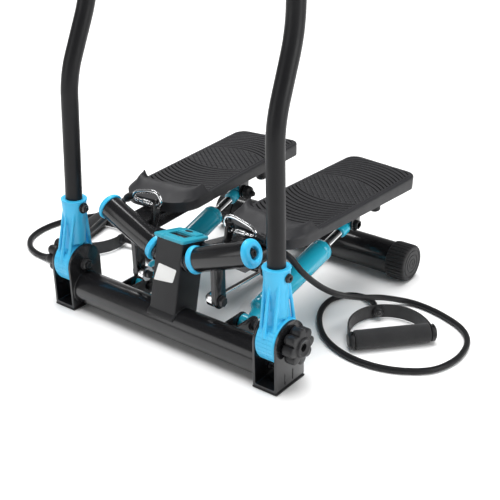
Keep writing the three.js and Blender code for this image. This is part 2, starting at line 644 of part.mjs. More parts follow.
// The right cord's centreline, from its clip to the handle: a loose turn on the floor.
const RIGHT_CORD = [
  [134.5, 66, 197], [146, 64, 195.5], [168, 64, 188], [190, 70, 175], [204, 82, 150], [211, 115, 115],
  [218, 149, 88], [220, 194, 62], [224, 237, 42], [230, 279, 25], [243, 309, 12], [266, 325, 6],
  [297, 325, 5.3], [332, 317, 5.3], [370, 301, 5.3], [393, 280, 5.3], [407, 251, 5.3], [411, 205, 5.3],
  [396, 161, 5.3], [363, 133, 5.3], [319, 117, 5.3], [266, 117, 5.3], [212, 139, 5.3], [171, 180, 5.3],
  [150, 221, 5.3], [147, 257, 5.3], [163, 285, 5.3], [190, 293, 6], [215, 279, 10], [228, 264.5, 13.6],
  [235.1, 257.1, 14.5]];

// The left cord's centreline: it slopes to the floor, turns back behind the grip and meets its hub.
const LEFT_CORD = [
  [-134.5, 66, 197], [-147, 66, 188], [-166, 66, 172], [-190, 66, 150], [-216, 66, 126], [-243, 66, 102],
  [-270, 66, 80], [-300, 67, 57], [-330, 67.5, 36], [-358, 69, 18], [-385, 70, 7], [-411, 72, 5.3],
  [-434, 79, 5.3], [-456, 93, 5.3], [-473, 113, 5.3], [-483, 140, 5.3], [-485, 171, 5.3], [-480, 200, 5.3],
  [-470, 225, 5.3], [-456, 247, 5.3], [-440, 268, 5.3], [-420, 283, 5.3], [-397, 290, 5.3],
  [-368, 290, 5.3], [-335, 284, 5.3], [-300, 275, 5.3], [-264, 266, 5.3], [-228, 251, 5.3],
  [-199, 231, 5.3], [-181, 207, 5.3], [-186, 184, 5.3], [-209, 176, 5.3], [-234, 185, 5.3],
  [-257, 199, 6], [-274, 204, 9.6], [-287, 202, 13.4], [-299.4, 199, 14.5]];

function curveOf(points) {
  return new THREE.CatmullRomCurve3(points.map((p) => new THREE.Vector3(...p)), false, 'centripetal');
}

function cord(points) {
  const curve = curveOf(points);
  return swept(curve, CORD.radius, Math.round(curve.getLength() / CORD.step), 7);
}

// A handle frame: x along the grip, y from the grip towards the strap's crown.
function handleFrame(x, y, angle) {
  return new THREE.Matrix4().makeTranslation(x, y, 0).multiply(new THREE.Matrix4().makeRotationZ(rad(angle)));
}

const place = (body, frame) => solid(geometryOf(body).applyMatrix4(frame));

function handleGrip(frame) {
  const { half, foam, foamHalf, neck, cap, capLength, z } = HANDLE;
  const body = union(
    barX(-foamHalf, foamHalf, 0, z, foam, 20),
    barX(-half + 1, half - 1, 0, z, neck, 20),
    barX(-half, -half + capLength, 0, z, cap, 24),
    barX(half - capLength, half, 0, z, cap, 24));
  const slot = (x) => box(x - 2.6, x + 2.6, -6, 60, 0, 40);
  return place(cut(body, slot(-half + 6), slot(half - 6)), frame);
}

function handleStrap(frame) {
  const { thick, height, z, bow } = STRAP;
  const side = HANDLE.half - 6;
  const loop = (offset) => {
    const s = side + offset;
    return new THREE.CubicBezierCurve(
      new THREE.Vector2(-s, 8), new THREE.Vector2(-s, bow * 1.2 + offset),
      new THREE.Vector2(s, bow * 1.2 + offset), new THREE.Vector2(s, 8));
  };
  const outer = loop(thick / 2).getPoints(22);
  const inner = loop(-thick / 2).getPoints(22).reverse();
  const shape = new THREE.Shape([...outer, ...inner]);
  const band = plateZ(shape, z - height / 2, z + height / 2);
  const crown = 8 * 0.25 + bow * 1.2 * 0.75;
  const stud = bar([0, crown - 7, z], [0, crown + 6, z], 7, 12);
  return place(union(band, stud), frame);
}

// ---------------------------------------------------------------- assembly
add('crossbar', crossbar(), STEEL_BLACK);
addPair('bracket', bracket(), STEEL_BLACK);
addPair('bracket_foot', bracketFoot(), RUBBER);
add('post', post(), STEEL_BLACK);
add('spine', spine(), STEEL_BLACK);
add('rear_stabilizer', rearStabilizer(), STEEL_BLACK);
addPair('rear_cap', rearCap(), RUBBER);
add('post_cap', postCap(), CYAN);
add('display', display(), GLASS_DARK);
add('reset_button', button(), RUBBER);
addPair('clevis_bolt', clevisBolt(), STEEL_BLACK);
add('rocker', rocker(), STEEL_BLACK);
addPair('tie_rod', tieRod(), CHROME);

addPair('inner_bushing', innerBushing(), CYAN);
addPair('end_cap', endCap(), CYAN);
addPair('pivot_bolt', pivotBolt(), STEEL_BLACK);
addPair('pedal_frame', pedalFrameWeldment(), STEEL_BLACK);
addPair('lever_pin', leverPin(), STEEL_BLACK);
addPair('pedal', pedal(), PEDAL_GREY);
addPair('bumper', bumper(), RUBBER);
addPair('height_knob', heightKnob(), RUBBER);
addPair('cylinder_barrel', barrel(), TEAL);
addPair('cylinder_rod', rod(), CHROME);

addPair('socket', socket(), CYAN);
addPair('upright', upright(), TUBE_BLACK);
addPair('socket_bolt', socketBolt(), STEEL_BLACK);
add('top_bar', topBar(), TUBE_BLACK);
addPair('top_grip', topGrip(), FOAM);
addPair('fold_knob', foldKnob(), RUBBER);

addPair('carabiner', carabiner(), CHROME);
addPair('carabiner_gate', carabinerGate(), CHROME);
add('cord_right', cord(RIGHT_CORD), RUBBER);
add('cord_left', cord(LEFT_CORD), RUBBER);

const HANDLES = { right: handleFrame(303.7, 192.7, 46.84), left: handleFrame(-391.4, 176, -76) };
for (const [side, frame] of Object.entries(HANDLES)) {
  add(`handle_strap_${side}`, handleStrap(frame), RUBBER);
  add(`handle_grip_${side}`, handleGrip(frame), FOAM);
}

export default stepper;
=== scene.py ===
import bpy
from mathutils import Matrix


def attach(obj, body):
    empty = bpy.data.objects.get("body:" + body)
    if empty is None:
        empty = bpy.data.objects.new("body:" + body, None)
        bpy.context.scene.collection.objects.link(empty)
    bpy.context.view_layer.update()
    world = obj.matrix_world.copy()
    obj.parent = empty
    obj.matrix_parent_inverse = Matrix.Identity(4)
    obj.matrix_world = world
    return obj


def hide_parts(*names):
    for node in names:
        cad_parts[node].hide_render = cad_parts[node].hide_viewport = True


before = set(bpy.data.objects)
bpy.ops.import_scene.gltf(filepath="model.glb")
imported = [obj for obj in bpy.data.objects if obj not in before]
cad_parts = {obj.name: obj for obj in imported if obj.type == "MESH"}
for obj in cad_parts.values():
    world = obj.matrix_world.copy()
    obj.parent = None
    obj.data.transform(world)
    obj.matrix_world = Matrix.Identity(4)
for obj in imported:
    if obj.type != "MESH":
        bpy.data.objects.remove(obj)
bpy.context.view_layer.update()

from math import atan, cos, pi, radians, sin, sqrt

import bmesh
import bpy
from mathutils import Matrix, Vector

# Shapes are drawn in millimetres: X to the machine's right, Y from the crossbar to the rear foot, Z up.
# The crossbar's axis is over y = 0 there; the row frame's origin is SHIFT further back.
SHIFT = -206.265
TO_ROW = Matrix.Scale(0.001, 4) @ Matrix.Translation((0, SHIFT, 0))
TAU = 2 * pi


# ---------------------------------------------------------------- dimensions shared with the part
CROSSBAR_R, CROSSBAR_Z, CROSSBAR_HALF = 28.5, 33.5, 195.2
EAR_IN, EAR_OUT, EAR_T, EAR_R = 195.5, 240.0, 4.0, 35.0
FOLD = Vector((217.75, 3, 76))
REAR_R, REAR_Y, REAR_Z, REAR_HALF = 30.3, 405.0, 34.0, 211.0
POST_HALF, POST_DEEP, POST_FRONT, POST_BASE, POST_SLOPE, POST_TOP = 27.4, 57.0, -19.9, 47.6, 0.2385, 173.8
PIVOT, PIVOT_YAW, PIVOT_RISE = Vector((41.66, 21.75, 146.3)), radians(4), radians(20.26)
SLEEVE_R, SLEEVE_START, SLEEVE_END = 20.6, 2.5, 111.0
PEDAL_AT, PEDAL_HALF, PEDAL_LONG = Vector((129.8, 443.2, 194.4)), 71.7, 360.0
ROD_PIN = Vector((125, 338, 116))
BASE_PIN = Vector((113, 58, 40))
LEVER_Y, LEVER_Z = 25.0, 86.0
TUBE_R, TUBE_LEAN, TUBE_RAKE = 14.1, 0.037, 0.044
JOINT_Z, TOP_Z = 700.0, 1052.0
CORD_R = 5.0
LEVER = (LEVER_Y, LEVER_Z)
ROCKER_Y, TIE_X = 172.0, 74.0
SLEEVE_BORE = 17.2


# ---------------------------------------------------------------- camera
AZIMUTH, ELEVATION, ROLL = radians(36.909), radians(26.595), radians(-0.388)
right = Vector((cos(AZIMUTH), sin(AZIMUTH), 0))
above = Vector((-sin(AZIMUTH) * sin(ELEVATION), cos(AZIMUTH) * sin(ELEVATION),
                cos(ELEVATION)))
behind = right.cross(above)
side = cos(ROLL) * right + sin(ROLL) * above
upward = cos(ROLL) * above - sin(ROLL) * right
stance = Matrix((side, upward, behind)).transposed().to_4x4()
stance.translation = Vector((0.97856, -1.215175, 0.84982))
camera = bpy.data.objects.new("camera", bpy.data.cameras.new("camera"))
bpy.context.scene.collection.objects.link(camera)
camera.matrix_world = stance
camera.data.lens = 71.35
camera.data.sensor_width = 36
camera.data.shift_x = -0.0564
camera.data.shift_y = 0.0082
camera.data.clip_start = 0.05
bpy.context.scene.camera = camera


# ---------------------------------------------------------------- materials
CLOUDS, SMUDGES, GRAIN_DEEP = 18, 55, 0.0002  # two noise scales, and the relief of the grain in metres
EDGE_WEAR_AND_HIGHLIGHT, EDGE_WEAR_AND_HIGHLIGHT_MOST = (0.53, 0.62), 0.55  # pointiness where paint starts to rub through and edges get a painted highlight, and how far it goes
GROOVE_SHADE_START, GROOVE_SHADE_MOST = (0.49, 0.42), 0.85  # pointiness where painted shade starts in a groove, and how far it goes


def texture(nodes, links, kind, place, **inputs):
    made = nodes.new(f"ShaderNodeTex{kind}")
    for name, value in inputs.items():
        made.inputs[name].default_value = value
    links.new(place, made.inputs["Vector"])
    return made


def remapped(nodes, links, value, span, to):
    """A value with its span stretched to another one, and held at the ends."""
    made = nodes.new("ShaderNodeMapRange")
    for name, number in zip(("From Min", "From Max", "To Min", "To Max"), (*span, *to)):
        made.inputs[name].default_value = number
    links.new(value, made.inputs["Value"])
    return made.outputs["Result"]


def toned(nodes, links, amount, first, second):
    """A colour, or a node's output, mixed with a second colour."""
    mix = nodes.new("ShaderNodeMix")
    mix.data_type = "RGBA"
    if isinstance(first, tuple):
        mix.inputs["A"].default_value = (*first, 1)
    else:
        links.new(first, mix.inputs["A"])
    mix.inputs["B"].default_value = (*second, 1)
    links.new(amount, mix.inputs["Factor"])
    return mix.outputs["Result"]


def surface(name, color, tint, rough, rough_span=0.08, grain=0.0, grain_size=0.5, metal=0.0, coat=0.0,
            coat_rough=0.08, edge_wear_and_highlight=None, groove_shade=None, pattern=None, sheen=0.0, specular=0.5):
    """A procedural finish: two tones in soft clouds, smudged roughness, fine grain, worn edges that also
    carry a painted edge highlight, and painted shade in hollows.
    """
    made = bpy.data.materials.new(name)
    made.use_nodes = True
    nodes, links = made.node_tree.nodes, made.node_tree.links
    shader = nodes["Principled BSDF"]
    for label, value in (("Metallic", metal), ("Coat Weight", coat), ("Coat Roughness", coat_rough),
                         ("Sheen Weight", sheen), ("Specular IOR Level", specular)):
        shader.inputs[label].default_value = value
    place = nodes.new("ShaderNodeTexCoord").outputs["Object"]
    clouds = texture(nodes, links, "Noise", place, Scale=CLOUDS, Detail=5)
    last = toned(nodes, links, clouds.outputs["Fac"], color, tint)
    # First a lighter colour on sharp edges, partly rubbed paint and partly painted edge highlight; then a
    # darker colour in grooves and hollows, which is painted shade.
    for tone, span, most in ((edge_wear_and_highlight, EDGE_WEAR_AND_HIGHLIGHT, EDGE_WEAR_AND_HIGHLIGHT_MOST), (groove_shade, GROOVE_SHADE_START, GROOVE_SHADE_MOST)):
        if tone:
            sharp = nodes.new("ShaderNodeNewGeometry").outputs["Pointiness"]
            last = toned(nodes, links, remapped(nodes, links, sharp, span, (0, most)), last, tone)
    links.new(last, shader.inputs["Base Color"])
    smudge = texture(nodes, links, "Noise", place, Scale=SMUDGES, Detail=6).outputs["Fac"]
    spread = (max(0.02, rough - rough_span), rough + rough_span)
    links.new(remapped(nodes, links, smudge, (0.25, 0.75), spread), shader.inputs["Roughness"])
    if grain:
        if pattern:
            fine = pattern(nodes, links, place)
        else:
            fine = texture(nodes, links, "Noise", place, Scale=1000 / grain_size, Detail=3).outputs["Fac"]
        relief = nodes.new("ShaderNodeBump")
        relief.inputs["Strength"].default_value = grain
        relief.inputs["Distance"].default_value = GRAIN_DEEP
        links.new(fine, relief.inputs["Height"])
        links.new(relief.outputs["Normal"], shader.inputs["Normal"])
    return made


def foam_cells(nodes, links, place):
    return texture(nodes, links, "Voronoi", place, Scale=900).outputs["Distance"]


def webbing_weave(nodes, links, place):
    rows = texture(nodes, links, "Wave", place, Scale=260, Distortion=1.5, Detail=2)
    rows.bands_direction = "Z"
    return rows.outputs["Fac"]


def brushed_steel(nodes, links, place):
    stretch = nodes.new("ShaderNodeMapping")
    stretch.inputs["Scale"].default_value = (60, 1200, 1200)
    links.new(place, stretch.inputs["Vector"])
    return texture(nodes, links, "Noise", stretch.outputs["Vector"], Scale=1, Detail=4).outputs["Fac"]


# Each wear colour below lightens convex edges: rubbed paint and a painted edge highlight together.
GLOSS = surface("gloss_black_enamel", (0.006, 0.006, 0.007), (0.011, 0.011, 0.012), 0.22, 0.05, grain=0.06,
                grain_size=3, coat=0.25, coat_rough=0.07, edge_wear_and_highlight=(0.030, 0.030, 0.033), specular=0.42)
SATIN = surface("satin_black_powder", (0.010, 0.010, 0.011), (0.016, 0.016, 0.018), 0.44, 0.06, grain=0.12,
                grain_size=0.8, edge_wear_and_highlight=(0.04, 0.04, 0.04), specular=0.32)
TUBE = surface("black_tube_paint", (0.007, 0.007, 0.008), (0.012, 0.012, 0.013), 0.36, 0.06, grain=0.06,
               grain_size=1.5, specular=0.22)
HARDWARE = surface("black_oxide_steel", (0.014, 0.014, 0.015), (0.032, 0.032, 0.034), 0.30, 0.08, grain=0.15,
                   grain_size=0.7, metal=0.5, edge_wear_and_highlight=(0.16, 0.16, 0.16))
RUBBER = surface("black_rubber", (0.012, 0.012, 0.013), (0.019, 0.019, 0.020), 0.55, 0.08, grain=0.35,
                 grain_size=0.6, edge_wear_and_highlight=(0.04, 0.04, 0.04), specular=0.35)
CORD = surface("cord_rubber", (0.007, 0.007, 0.008), (0.012, 0.012, 0.013), 0.42, 0.06, grain=0.1,
               grain_size=1.2, specular=0.22)
PLASTIC = surface("black_moulded_plastic", (0.011, 0.011, 0.012), (0.017, 0.017, 0.018), 0.38, 0.06,
                  grain=0.25, grain_size=0.45, edge_wear_and_highlight=(0.045, 0.045, 0.047), specular=0.32)
# The pedal's hollow colour is painted shade in the tread grooves; its wear colour is rubbed edges plus
# painted edge highlight.
PEDAL = surface("pedal_grey_plastic", (0.017, 0.017, 0.019), (0.024, 0.024, 0.026), 0.47, 0.06, grain=0.25,
                grain_size=0.5, edge_wear_and_highlight=(0.06, 0.06, 0.063), groove_shade=(0.003, 0.003, 0.003), specular=0.3)
CYAN = surface("cyan_moulded_plastic", (0.035, 0.440, 0.740), (0.048, 0.480, 0.780), 0.34, 0.05, grain=0.12,
               grain_size=0.7, edge_wear_and_highlight=(0.12, 0.60, 0.88))
# A darker copy of the cyan plastic for the cap: painted shade standing in for the dim reflection on its
# upward-facing top.
CAP_CYAN_SHADED = surface("cap_cyan_painted_shade", (0.014, 0.270, 0.370), (0.020, 0.300, 0.410), 0.30, 0.05, grain=0.12,
                   grain_size=0.7, edge_wear_and_highlight=(0.16, 0.62, 0.75))
TEAL = surface("teal_gloss_paint", (0.018, 0.480, 0.680), (0.026, 0.540, 0.740), 0.16, 0.04, grain=0.04,
               grain_size=2.5, coat=0.7, coat_rough=0.04, edge_wear_and_highlight=(0.05, 0.5, 0.65))
CHROME = surface("polished_chrome", (0.78, 0.79, 0.80), (0.70, 0.71, 0.72), 0.10, 0.05, metal=1.0)
STEEL = surface("bright_zinc_steel", (0.86, 0.86, 0.87), (0.76, 0.76, 0.77), 0.17, 0.06, grain=0.03,
                metal=1.0, pattern=brushed_steel)
FOAM = surface("closed_cell_foam", (0.012, 0.012, 0.013), (0.020, 0.020, 0.021), 0.85, 0.06, grain=0.9,
               pattern=foam_cells, sheen=0.15)
WEBBING = surface("black_webbing", (0.010, 0.010, 0.011), (0.020, 0.020, 0.021), 0.55, 0.08, grain=0.8,
                  pattern=webbing_weave, sheen=0.1)
SCREEN = surface("screen_glass", (0.004, 0.005, 0.006), (0.008, 0.010, 0.012), 0.08, 0.03, coat=1.0,
                 coat_rough=0.02, grain=0.02, grain_size=6)
# A near-black matte sheet that shows at the bottoms of the tread grooves as painted shadow.
GROOVE_SHADOW_SHEET = surface("tread_groove_painted_shadow", (0.002, 0.002, 0.002), (0.003, 0.003, 0.003), 0.8, 0.05, specular=0.1)
LABEL = surface("white_sticker", (0.80, 0.80, 0.79), (0.74, 0.74, 0.73), 0.36, 0.06, grain=0.08, grain_size=1)


# ---------------------------------------------------------------- mesh helpers, in millimetres
def linked(name, data):
    made = bpy.data.objects.new(name, data)
    bpy.context.scene.collection.objects.link(made)
    return made


def angles(count):
    return [TAU * i / count for i in range(count)]


def circle(centre, radius, across, other, count):
    return [centre + radius * (cos(t) * across + sin(t) * other) for t in angles(count)]


def loft(shape, rings, looped=False):
    """Faces between successive rings of equal length; a ring of one point closes to a tip."""
    made = [[shape.verts.new(p) for p in ring] for ring in rings]
    pairs = list(zip(made, made[1:])) + ([(made[-1], made[0])] if looped else [])
    for a, b in pairs:
        count = max(len(a), len(b))
        for i in range(count):
            j = (i + 1) % count
            corners = [a[i % len(a)], a[j % len(a)], b[j % len(b)], b[i % len(b)]]
            corners = [v for k, v in enumerate(corners) if v not in corners[:k]]
            if len(corners) > 2:
                shape.faces.new(corners)
    for end in () if looped else (made[0], made[-1]):
        if len(end) > 2:
            shape.faces.new(end)


def soften(points, reach, steps=3, looped=False):
    """Each corner of a line of points becomes a small curve that starts a set distance before it."""
    count = len(points)
    made = []
    for i, point in enumerate(points):
        here = Vector(point)
        if not looped and i in (0, count - 1):
            made.append(here)
            continue
        before, after = Vector(points[i - 1]), Vector(points[(i + 1) % count])
        into, out = here - before, after - here
        if into.length < 1e-6 or out.length < 1e-6 or into.angle(out) < 0.2:
            made.append(here)
            continue
        a = here - into.normalized() * min(reach, into.length * 0.45)
        b = here + out.normalized() * min(reach, out.length * 0.45)
        for k in range(steps + 1):
            t = k / steps
            made.append((1 - t) ** 2 * a + 2 * t * (1 - t) * here + t * t * b)
    return made


def lathe(shape, profile, place, sides=48, looped=False):
    """A turned shape about local Z; the profile is a list of (radius, height)."""
    rings = []
    for r, h in profile:
        if r < 1e-4:
            rings.append([place @ Vector((0, 0, h))])
        else:
            rings.append([place @ Vector((r * cos(t), r * sin(t), h)) for t in angles(sides)])
    loft(shape, rings, looped=looped)


def aim(point, direction):
    turn = Vector((0, 0, 1)).rotation_difference(Vector(direction).normalized())
    return Matrix.Translation(point) @ turn.to_matrix().to_4x4()


def along_x(x, y, z):
    """Local Z runs along +X, local X along +Y and local Y along +Z."""
    return Matrix(((0, 0, 1, x), (1, 0, 0, y), (0, 1, 0, z), (0, 0, 0, 1)))


SIDEWAYS = along_x(0, 0, 0)


def about_x(x, centre, r, t):
    """A point about a line along X; the angle starts at the rear and turns upward."""
    y, z = centre[-2:]
    return Vector((x, y + r * cos(t), z + r * sin(t)))


def turned(profile, place, reach=0.8, sides=64):
    """A new shape turned about local Z from a profile with its corners softened."""
    shape = bmesh.new()
    lathe(shape, soften(profile, reach), place, sides)
    return shape


def rod_between(shape, start, end, radius, sides=32, edge=0.6):
    start, end = Vector(start), Vector(end)
    long = (end - start).length
    edge = min(edge, radius * 0.4, long * 0.3)
    profile = soften([(0, 0), (radius, 0), (radius, long), (0, long)], edge)
    lathe(shape, profile, aim(start, end - start), sides)


def ring_between(shape, start, end, outer, inner, sides=48, edge=0.5):
    start, end = Vector(start), Vector(end)
    long = (end - start).length
    edge = min(edge, (outer - inner) * 0.3, long * 0.3)
    profile = soften([(inner, 0), (outer, 0), (outer, long), (inner, long)], edge, looped=True)
    lathe(shape, profile, aim(start, end - start), sides, looped=True)


def x_rod(shape, start, end, centre, radius, sides=32, edge=0.6):
    """A rod along X; the centre is its Y and Z."""
    rod_between(shape, (start, *centre), (end, *centre), radius, sides, edge)


def sweep(shape, points, radius, sides=24, tip=0.0):
    """A round bar along a line of points; a tip is how far its domed ends reach past them."""
    points = [Vector(p) for p in points]
    heading = (points[1] - points[0]).normalized()
    across = heading.orthogonal().normalized()
    rings = []
    for i, point in enumerate(points):
        ahead = points[min(i + 1, len(points) - 1)] - points[max(i - 1, 0)]
        ahead.normalize()
        across = ahead.orthogonal() if across.length < 1e-6 else heading.rotation_difference(ahead) @ across
        across.normalize()
        heading = ahead
        rings.append(circle(point, radius, across, heading.cross(across), sides))
    if tip:
        for end, inside in ((0, 1), (-1, -2)):
            out = (points[end] - points[inside]).normalized() * tip
            dome = []
            for scale, reach in ((0.85, 0.55), (0.5, 0.87)):
                dome.append([points[end] + (v - points[end]) * scale + out * reach for v in rings[end]])
            rings = dome[::-1] + rings if end == 0 else rings + dome
    loft(shape, rings)


def between(a, b, start, end, t):
    return a * ((end - t) / (end - start)) + b * ((t - start) / (end - start))


def catmull(points, spacing):
    """Points along a smooth curve through the given ones, about a set distance apart."""
    points = [Vector(p) for p in points]
    padded = [2 * points[0] - points[1]] + points + [2 * points[-1] - points[-2]]
    made = []
    for i in range(1, len(padded) - 2):
        p0, p1, p2, p3 = padded[i - 1:i + 3]
        t1 = (p1 - p0).length ** 0.5
        t2 = t1 + (p2 - p1).length ** 0.5
        t3 = t2 + (p3 - p2).length ** 0.5
        steps = max(1, round((p2 - p1).length / spacing))
        for k in range(steps):
            t = t1 + (t2 - t1) * k / steps
            a1, a2, a3 = between(p0, p1, 0, t1, t), between(p1, p2, t1, t2, t), between(p2, p3, t2, t3, t)
            made.append(between(between(a1, a2, 0, t2, t), between(a2, a3, t1, t3, t), t1, t2, t))
    return made + [points[-1]]


def plate(shape, outline, place, low, high, edge=0.8):
    """A flat outline in local X and Y with rounded edges, from one local height to another."""
    count = len(outline)
    outline = [Vector(p).to_2d() for p in outline]
    area = sum(a.cross(b) for a, b in zip(outline, outline[1:] + outline[:1]))
    inward = []
    for i, point in enumerate(outline):
        along = outline[(i + 1) % count] - outline[i - 1]
        normal = Vector((-along.y, along.x)).normalized()
        inward.append(normal if area > 0 else -normal)
    edge = min(edge, (high - low) * 0.45)
    rings = []
    for inset, height in ((1, low), (0.3, low + edge * 0.3), (0, low + edge), (0, high - edge),
                          (0.3, high - edge * 0.3), (1, high)):
        rings.append([place @ Vector((p.x + n.x * edge * inset, p.y + n.y * edge * inset, height))
                      for p, n in zip(outline, inward)])
    loft(shape, rings)


def block(shape, low, high, place=Matrix(), round_by=1.0):
    x0, y0, z0 = low
    x1, y1, z1 = high
    corners = soften([(x0, y0), (x1, y0), (x1, y1), (x0, y1)], round_by, 3, looped=True)
    plate(shape, corners, place, z0, z1, round_by * 0.7)


def arc(cx, cy, radius, start, end, steps=16):
    span = [radians(start + (end - start) * i / steps) for i in range(steps + 1)]
    return [(cx + radius * cos(t), cy + radius * sin(t)) for t in span]


def weld(shape, place, radius, thick, ripples):
    """A rippled bead of weld round a joint."""
    rings = []
    for t in angles(ripples * 5):
        fat = thick * (0.82 + 0.18 * abs(sin(ripples * t / 2)) + 0.05 * sin(7 * t))
        centre = Vector((radius * cos(t), radius * sin(t), 0))
        bead = circle(centre, fat, centre.normalized(), Vector((0, 0, 1)), 8)
        rings.append([place @ p for p in bead])
    loft(shape, rings, looped=True)


def evaluated(shape, *settings):
    """The shape after modifiers; each setting is (type, {property: value})."""
    mesh = bpy.data.meshes.new("step")
    shape.to_mesh(mesh)
    stand = linked("step", mesh)
    for kind, values in settings:
        modifier = stand.modifiers.new("step", kind)
        for key, value in values.items():
            setattr(modifier, key, value)
    graph = bpy.context.evaluated_depsgraph_get()
    result = bpy.data.meshes.new_from_object(stand.evaluated_get(graph))
    bpy.data.objects.remove(stand)
    bpy.data.meshes.remove(mesh)
    made = bmesh.new()
    made.from_mesh(result)
    bpy.data.meshes.remove(result)
    return made


def combined(shape, other, operation):
    """The shape with another cut out of it, joined to it, or kept in common."""
    for each in (shape, other):
        bmesh.ops.recalc_face_normals(each, faces=each.faces)
    mesh = bpy.data.meshes.new("tool")
    other.to_mesh(mesh)
    tool = linked("tool", mesh)
    made = evaluated(shape, ("BOOLEAN", {"operation": operation, "object": tool, "solver": "EXACT"}))
    bpy.data.objects.remove(tool)
    bpy.data.meshes.remove(mesh)
    return made


def fused(shape, voxel, smooth):
    """Overlapping closed shapes run together into one skin, as a moulding is."""
    bmesh.ops.recalc_face_normals(shape, faces=shape.faces)
    return evaluated(shape, ("REMESH", {"mode": "VOXEL", "voxel_size": voxel}),
                     ("SMOOTH", {"factor": 0.5, "iterations": smooth}))


def finish_piece(name, shape, material, body="base", nodes=(), bevel=0.0, crease=38, flip=False):
    copy = shape.copy()
    if flip:
        bmesh.ops.transform(copy, matrix=Matrix.Scale(-1, 4, (1, 0, 0)), verts=copy.verts)
    bmesh.ops.recalc_face_normals(copy, faces=copy.faces)
    bmesh.ops.transform(copy, matrix=TO_ROW, verts=copy.verts)
    limit = radians(crease)
    for edge in copy.edges:
        edge.smooth = len(edge.link_faces) == 2 and edge.calc_face_angle(3) < limit
    for face in copy.faces:
        face.smooth = True
    mesh = bpy.data.meshes.new(name)
    copy.to_mesh(mesh)
    copy.free()
    piece = linked(name, mesh)
    mesh.materials.append(material)
    if bevel:
        modifier = piece.modifiers.new("edges", "BEVEL")
        modifier.width = bevel / 1000
        modifier.segments = 2
        modifier.limit_method = "ANGLE"
        modifier.angle_limit = radians(30)
        modifier.harden_normals = True
    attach(piece, body)
    if nodes:
        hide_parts(*nodes)
    return piece


def pair(name, shape, material, body="base", node=None, **more):
    """The right piece, and the left one as its mirror image; {} stands for the side in names."""
    for hand in ("right", "left"):
        nodes = (node.format(hand),) if node else ()
        finish_piece(f"{name}_{hand}", shape, material, body.format(hand), nodes, flip=hand == "left", **more)


# ---------------------------------------------------------------- resistance cords
RIGHT_CORD = [
    (134.5, 66, 197), (146, 64, 195.5), (168, 64, 188), (190, 70, 175), (204, 82, 150), (211, 115, 115),
    (218, 149, 88), (220, 194, 62), (224, 237, 42), (230, 279, 25), (243, 309, 12), (266, 325, 6),
    (297, 325, 5.3), (332, 317, 5.3), (370, 301, 5.3), (393, 280, 5.3), (407, 251, 5.3), (411, 205, 5.3),
    (396, 161, 5.3), (363, 133, 5.3), (319, 117, 5.3), (266, 117, 5.3), (212, 139, 5.3), (171, 180, 5.3),
    (150, 221, 5.3), (147, 257, 5.3), (163, 285, 5.3), (190, 293, 6), (215, 279, 10), (228, 264.5, 13.6),
    (235.1, 257.1, 14.5)]
LEFT_CORD = [
    (-134.5, 66, 197), (-147, 66, 188), (-166, 66, 172), (-190, 66, 150), (-216, 66, 126), (-243, 66, 102),
    (-270, 66, 80), (-300, 67, 57), (-330, 67.5, 36), (-358, 69, 18), (-385, 70, 7), (-411, 72, 5.3),
    (-434, 79, 5.3), (-456, 93, 5.3), (-473, 113, 5.3), (-483, 140, 5.3), (-485, 171, 5.3), (-480, 200, 5.3),
    (-470, 225, 5.3), (-456, 247, 5.3), (-440, 268, 5.3), (-420, 283, 5.3), (-397, 290, 5.3),
    (-368, 290, 5.3), (-335, 284, 5.3), (-300, 275, 5.3), (-264, 266, 5.3), (-228, 251, 5.3),
    (-199, 231, 5.3), (-181, 207, 5.3), (-186, 184, 5.3), (-209, 176, 5.3), (-234, 185, 5.3),
    (-257, 199, 6), (-274, 204, 9.6), (-287, 202, 13.4), (-299.4, 199, 14.5)]
HANDLES = {
    "right": Matrix.Translation((303.7, 192.7, 0)) @ Matrix.Rotation(radians(46.84), 4, "Z"),
    "left": Matrix.Translation((-391.4, 176, 0)) @ Matrix.Rotation(radians(-76), 4, "Z")}
GRIP_Z, FOAM_R, FOAM_HALF, GRIP_HALF = 16.5, 16.2, 62.0, 73.0
STRAP_Z, STRAP_T, STRAP_H, STRAP_SIDE, STRAP_BOW = 14.5, 3.0, 25.0, 67.0, 94.4
STRAP_FOOT, STRAP_PULL = 8.0, STRAP_BOW * 1.2  # how far the strap's curve is pulled at its ends and middle
CROWN = STRAP_FOOT * 0.25 + STRAP_PULL * 0.75


def strap_line(offset):
    """The strap's curve over one handle, moved outward by an offset."""
    s, high, steps = STRAP_SIDE + offset, STRAP_PULL + offset, 40
    made = [Vector((-s, 2))]
    for k in range(steps + 1):
        t = k / steps
        a, b, c, d = (1 - t) ** 3, 3 * t * (1 - t) ** 2, 3 * t * t * (1 - t), t ** 3
        made.append(Vector((s * (c + d - a - b), STRAP_FOOT * (a + d) + high * (b + c))))
    return made + [Vector((s, 2))]


def strap_band(place):
    shape = bmesh.new()
    outer, inner = strap_line(STRAP_T / 2), strap_line(-STRAP_T / 2)
    low, high = STRAP_Z - STRAP_H / 2, STRAP_Z + STRAP_H / 2
    rings = []
    for o, i in zip(outer, inner):
        across = (i - o).normalized()
        section = [(0.9, low), (0, low + 0.9), (0, high - 0.9), (0.9, high)]
        ring = [(o + across * inset, z) for inset, z in section]
        ring += [(i - across * inset, z) for inset, z in reversed(section)]
        rings.append([place @ Vector((p.x, p.y, z)) for p, z in ring])
    loft(shape, rings)
    return shape


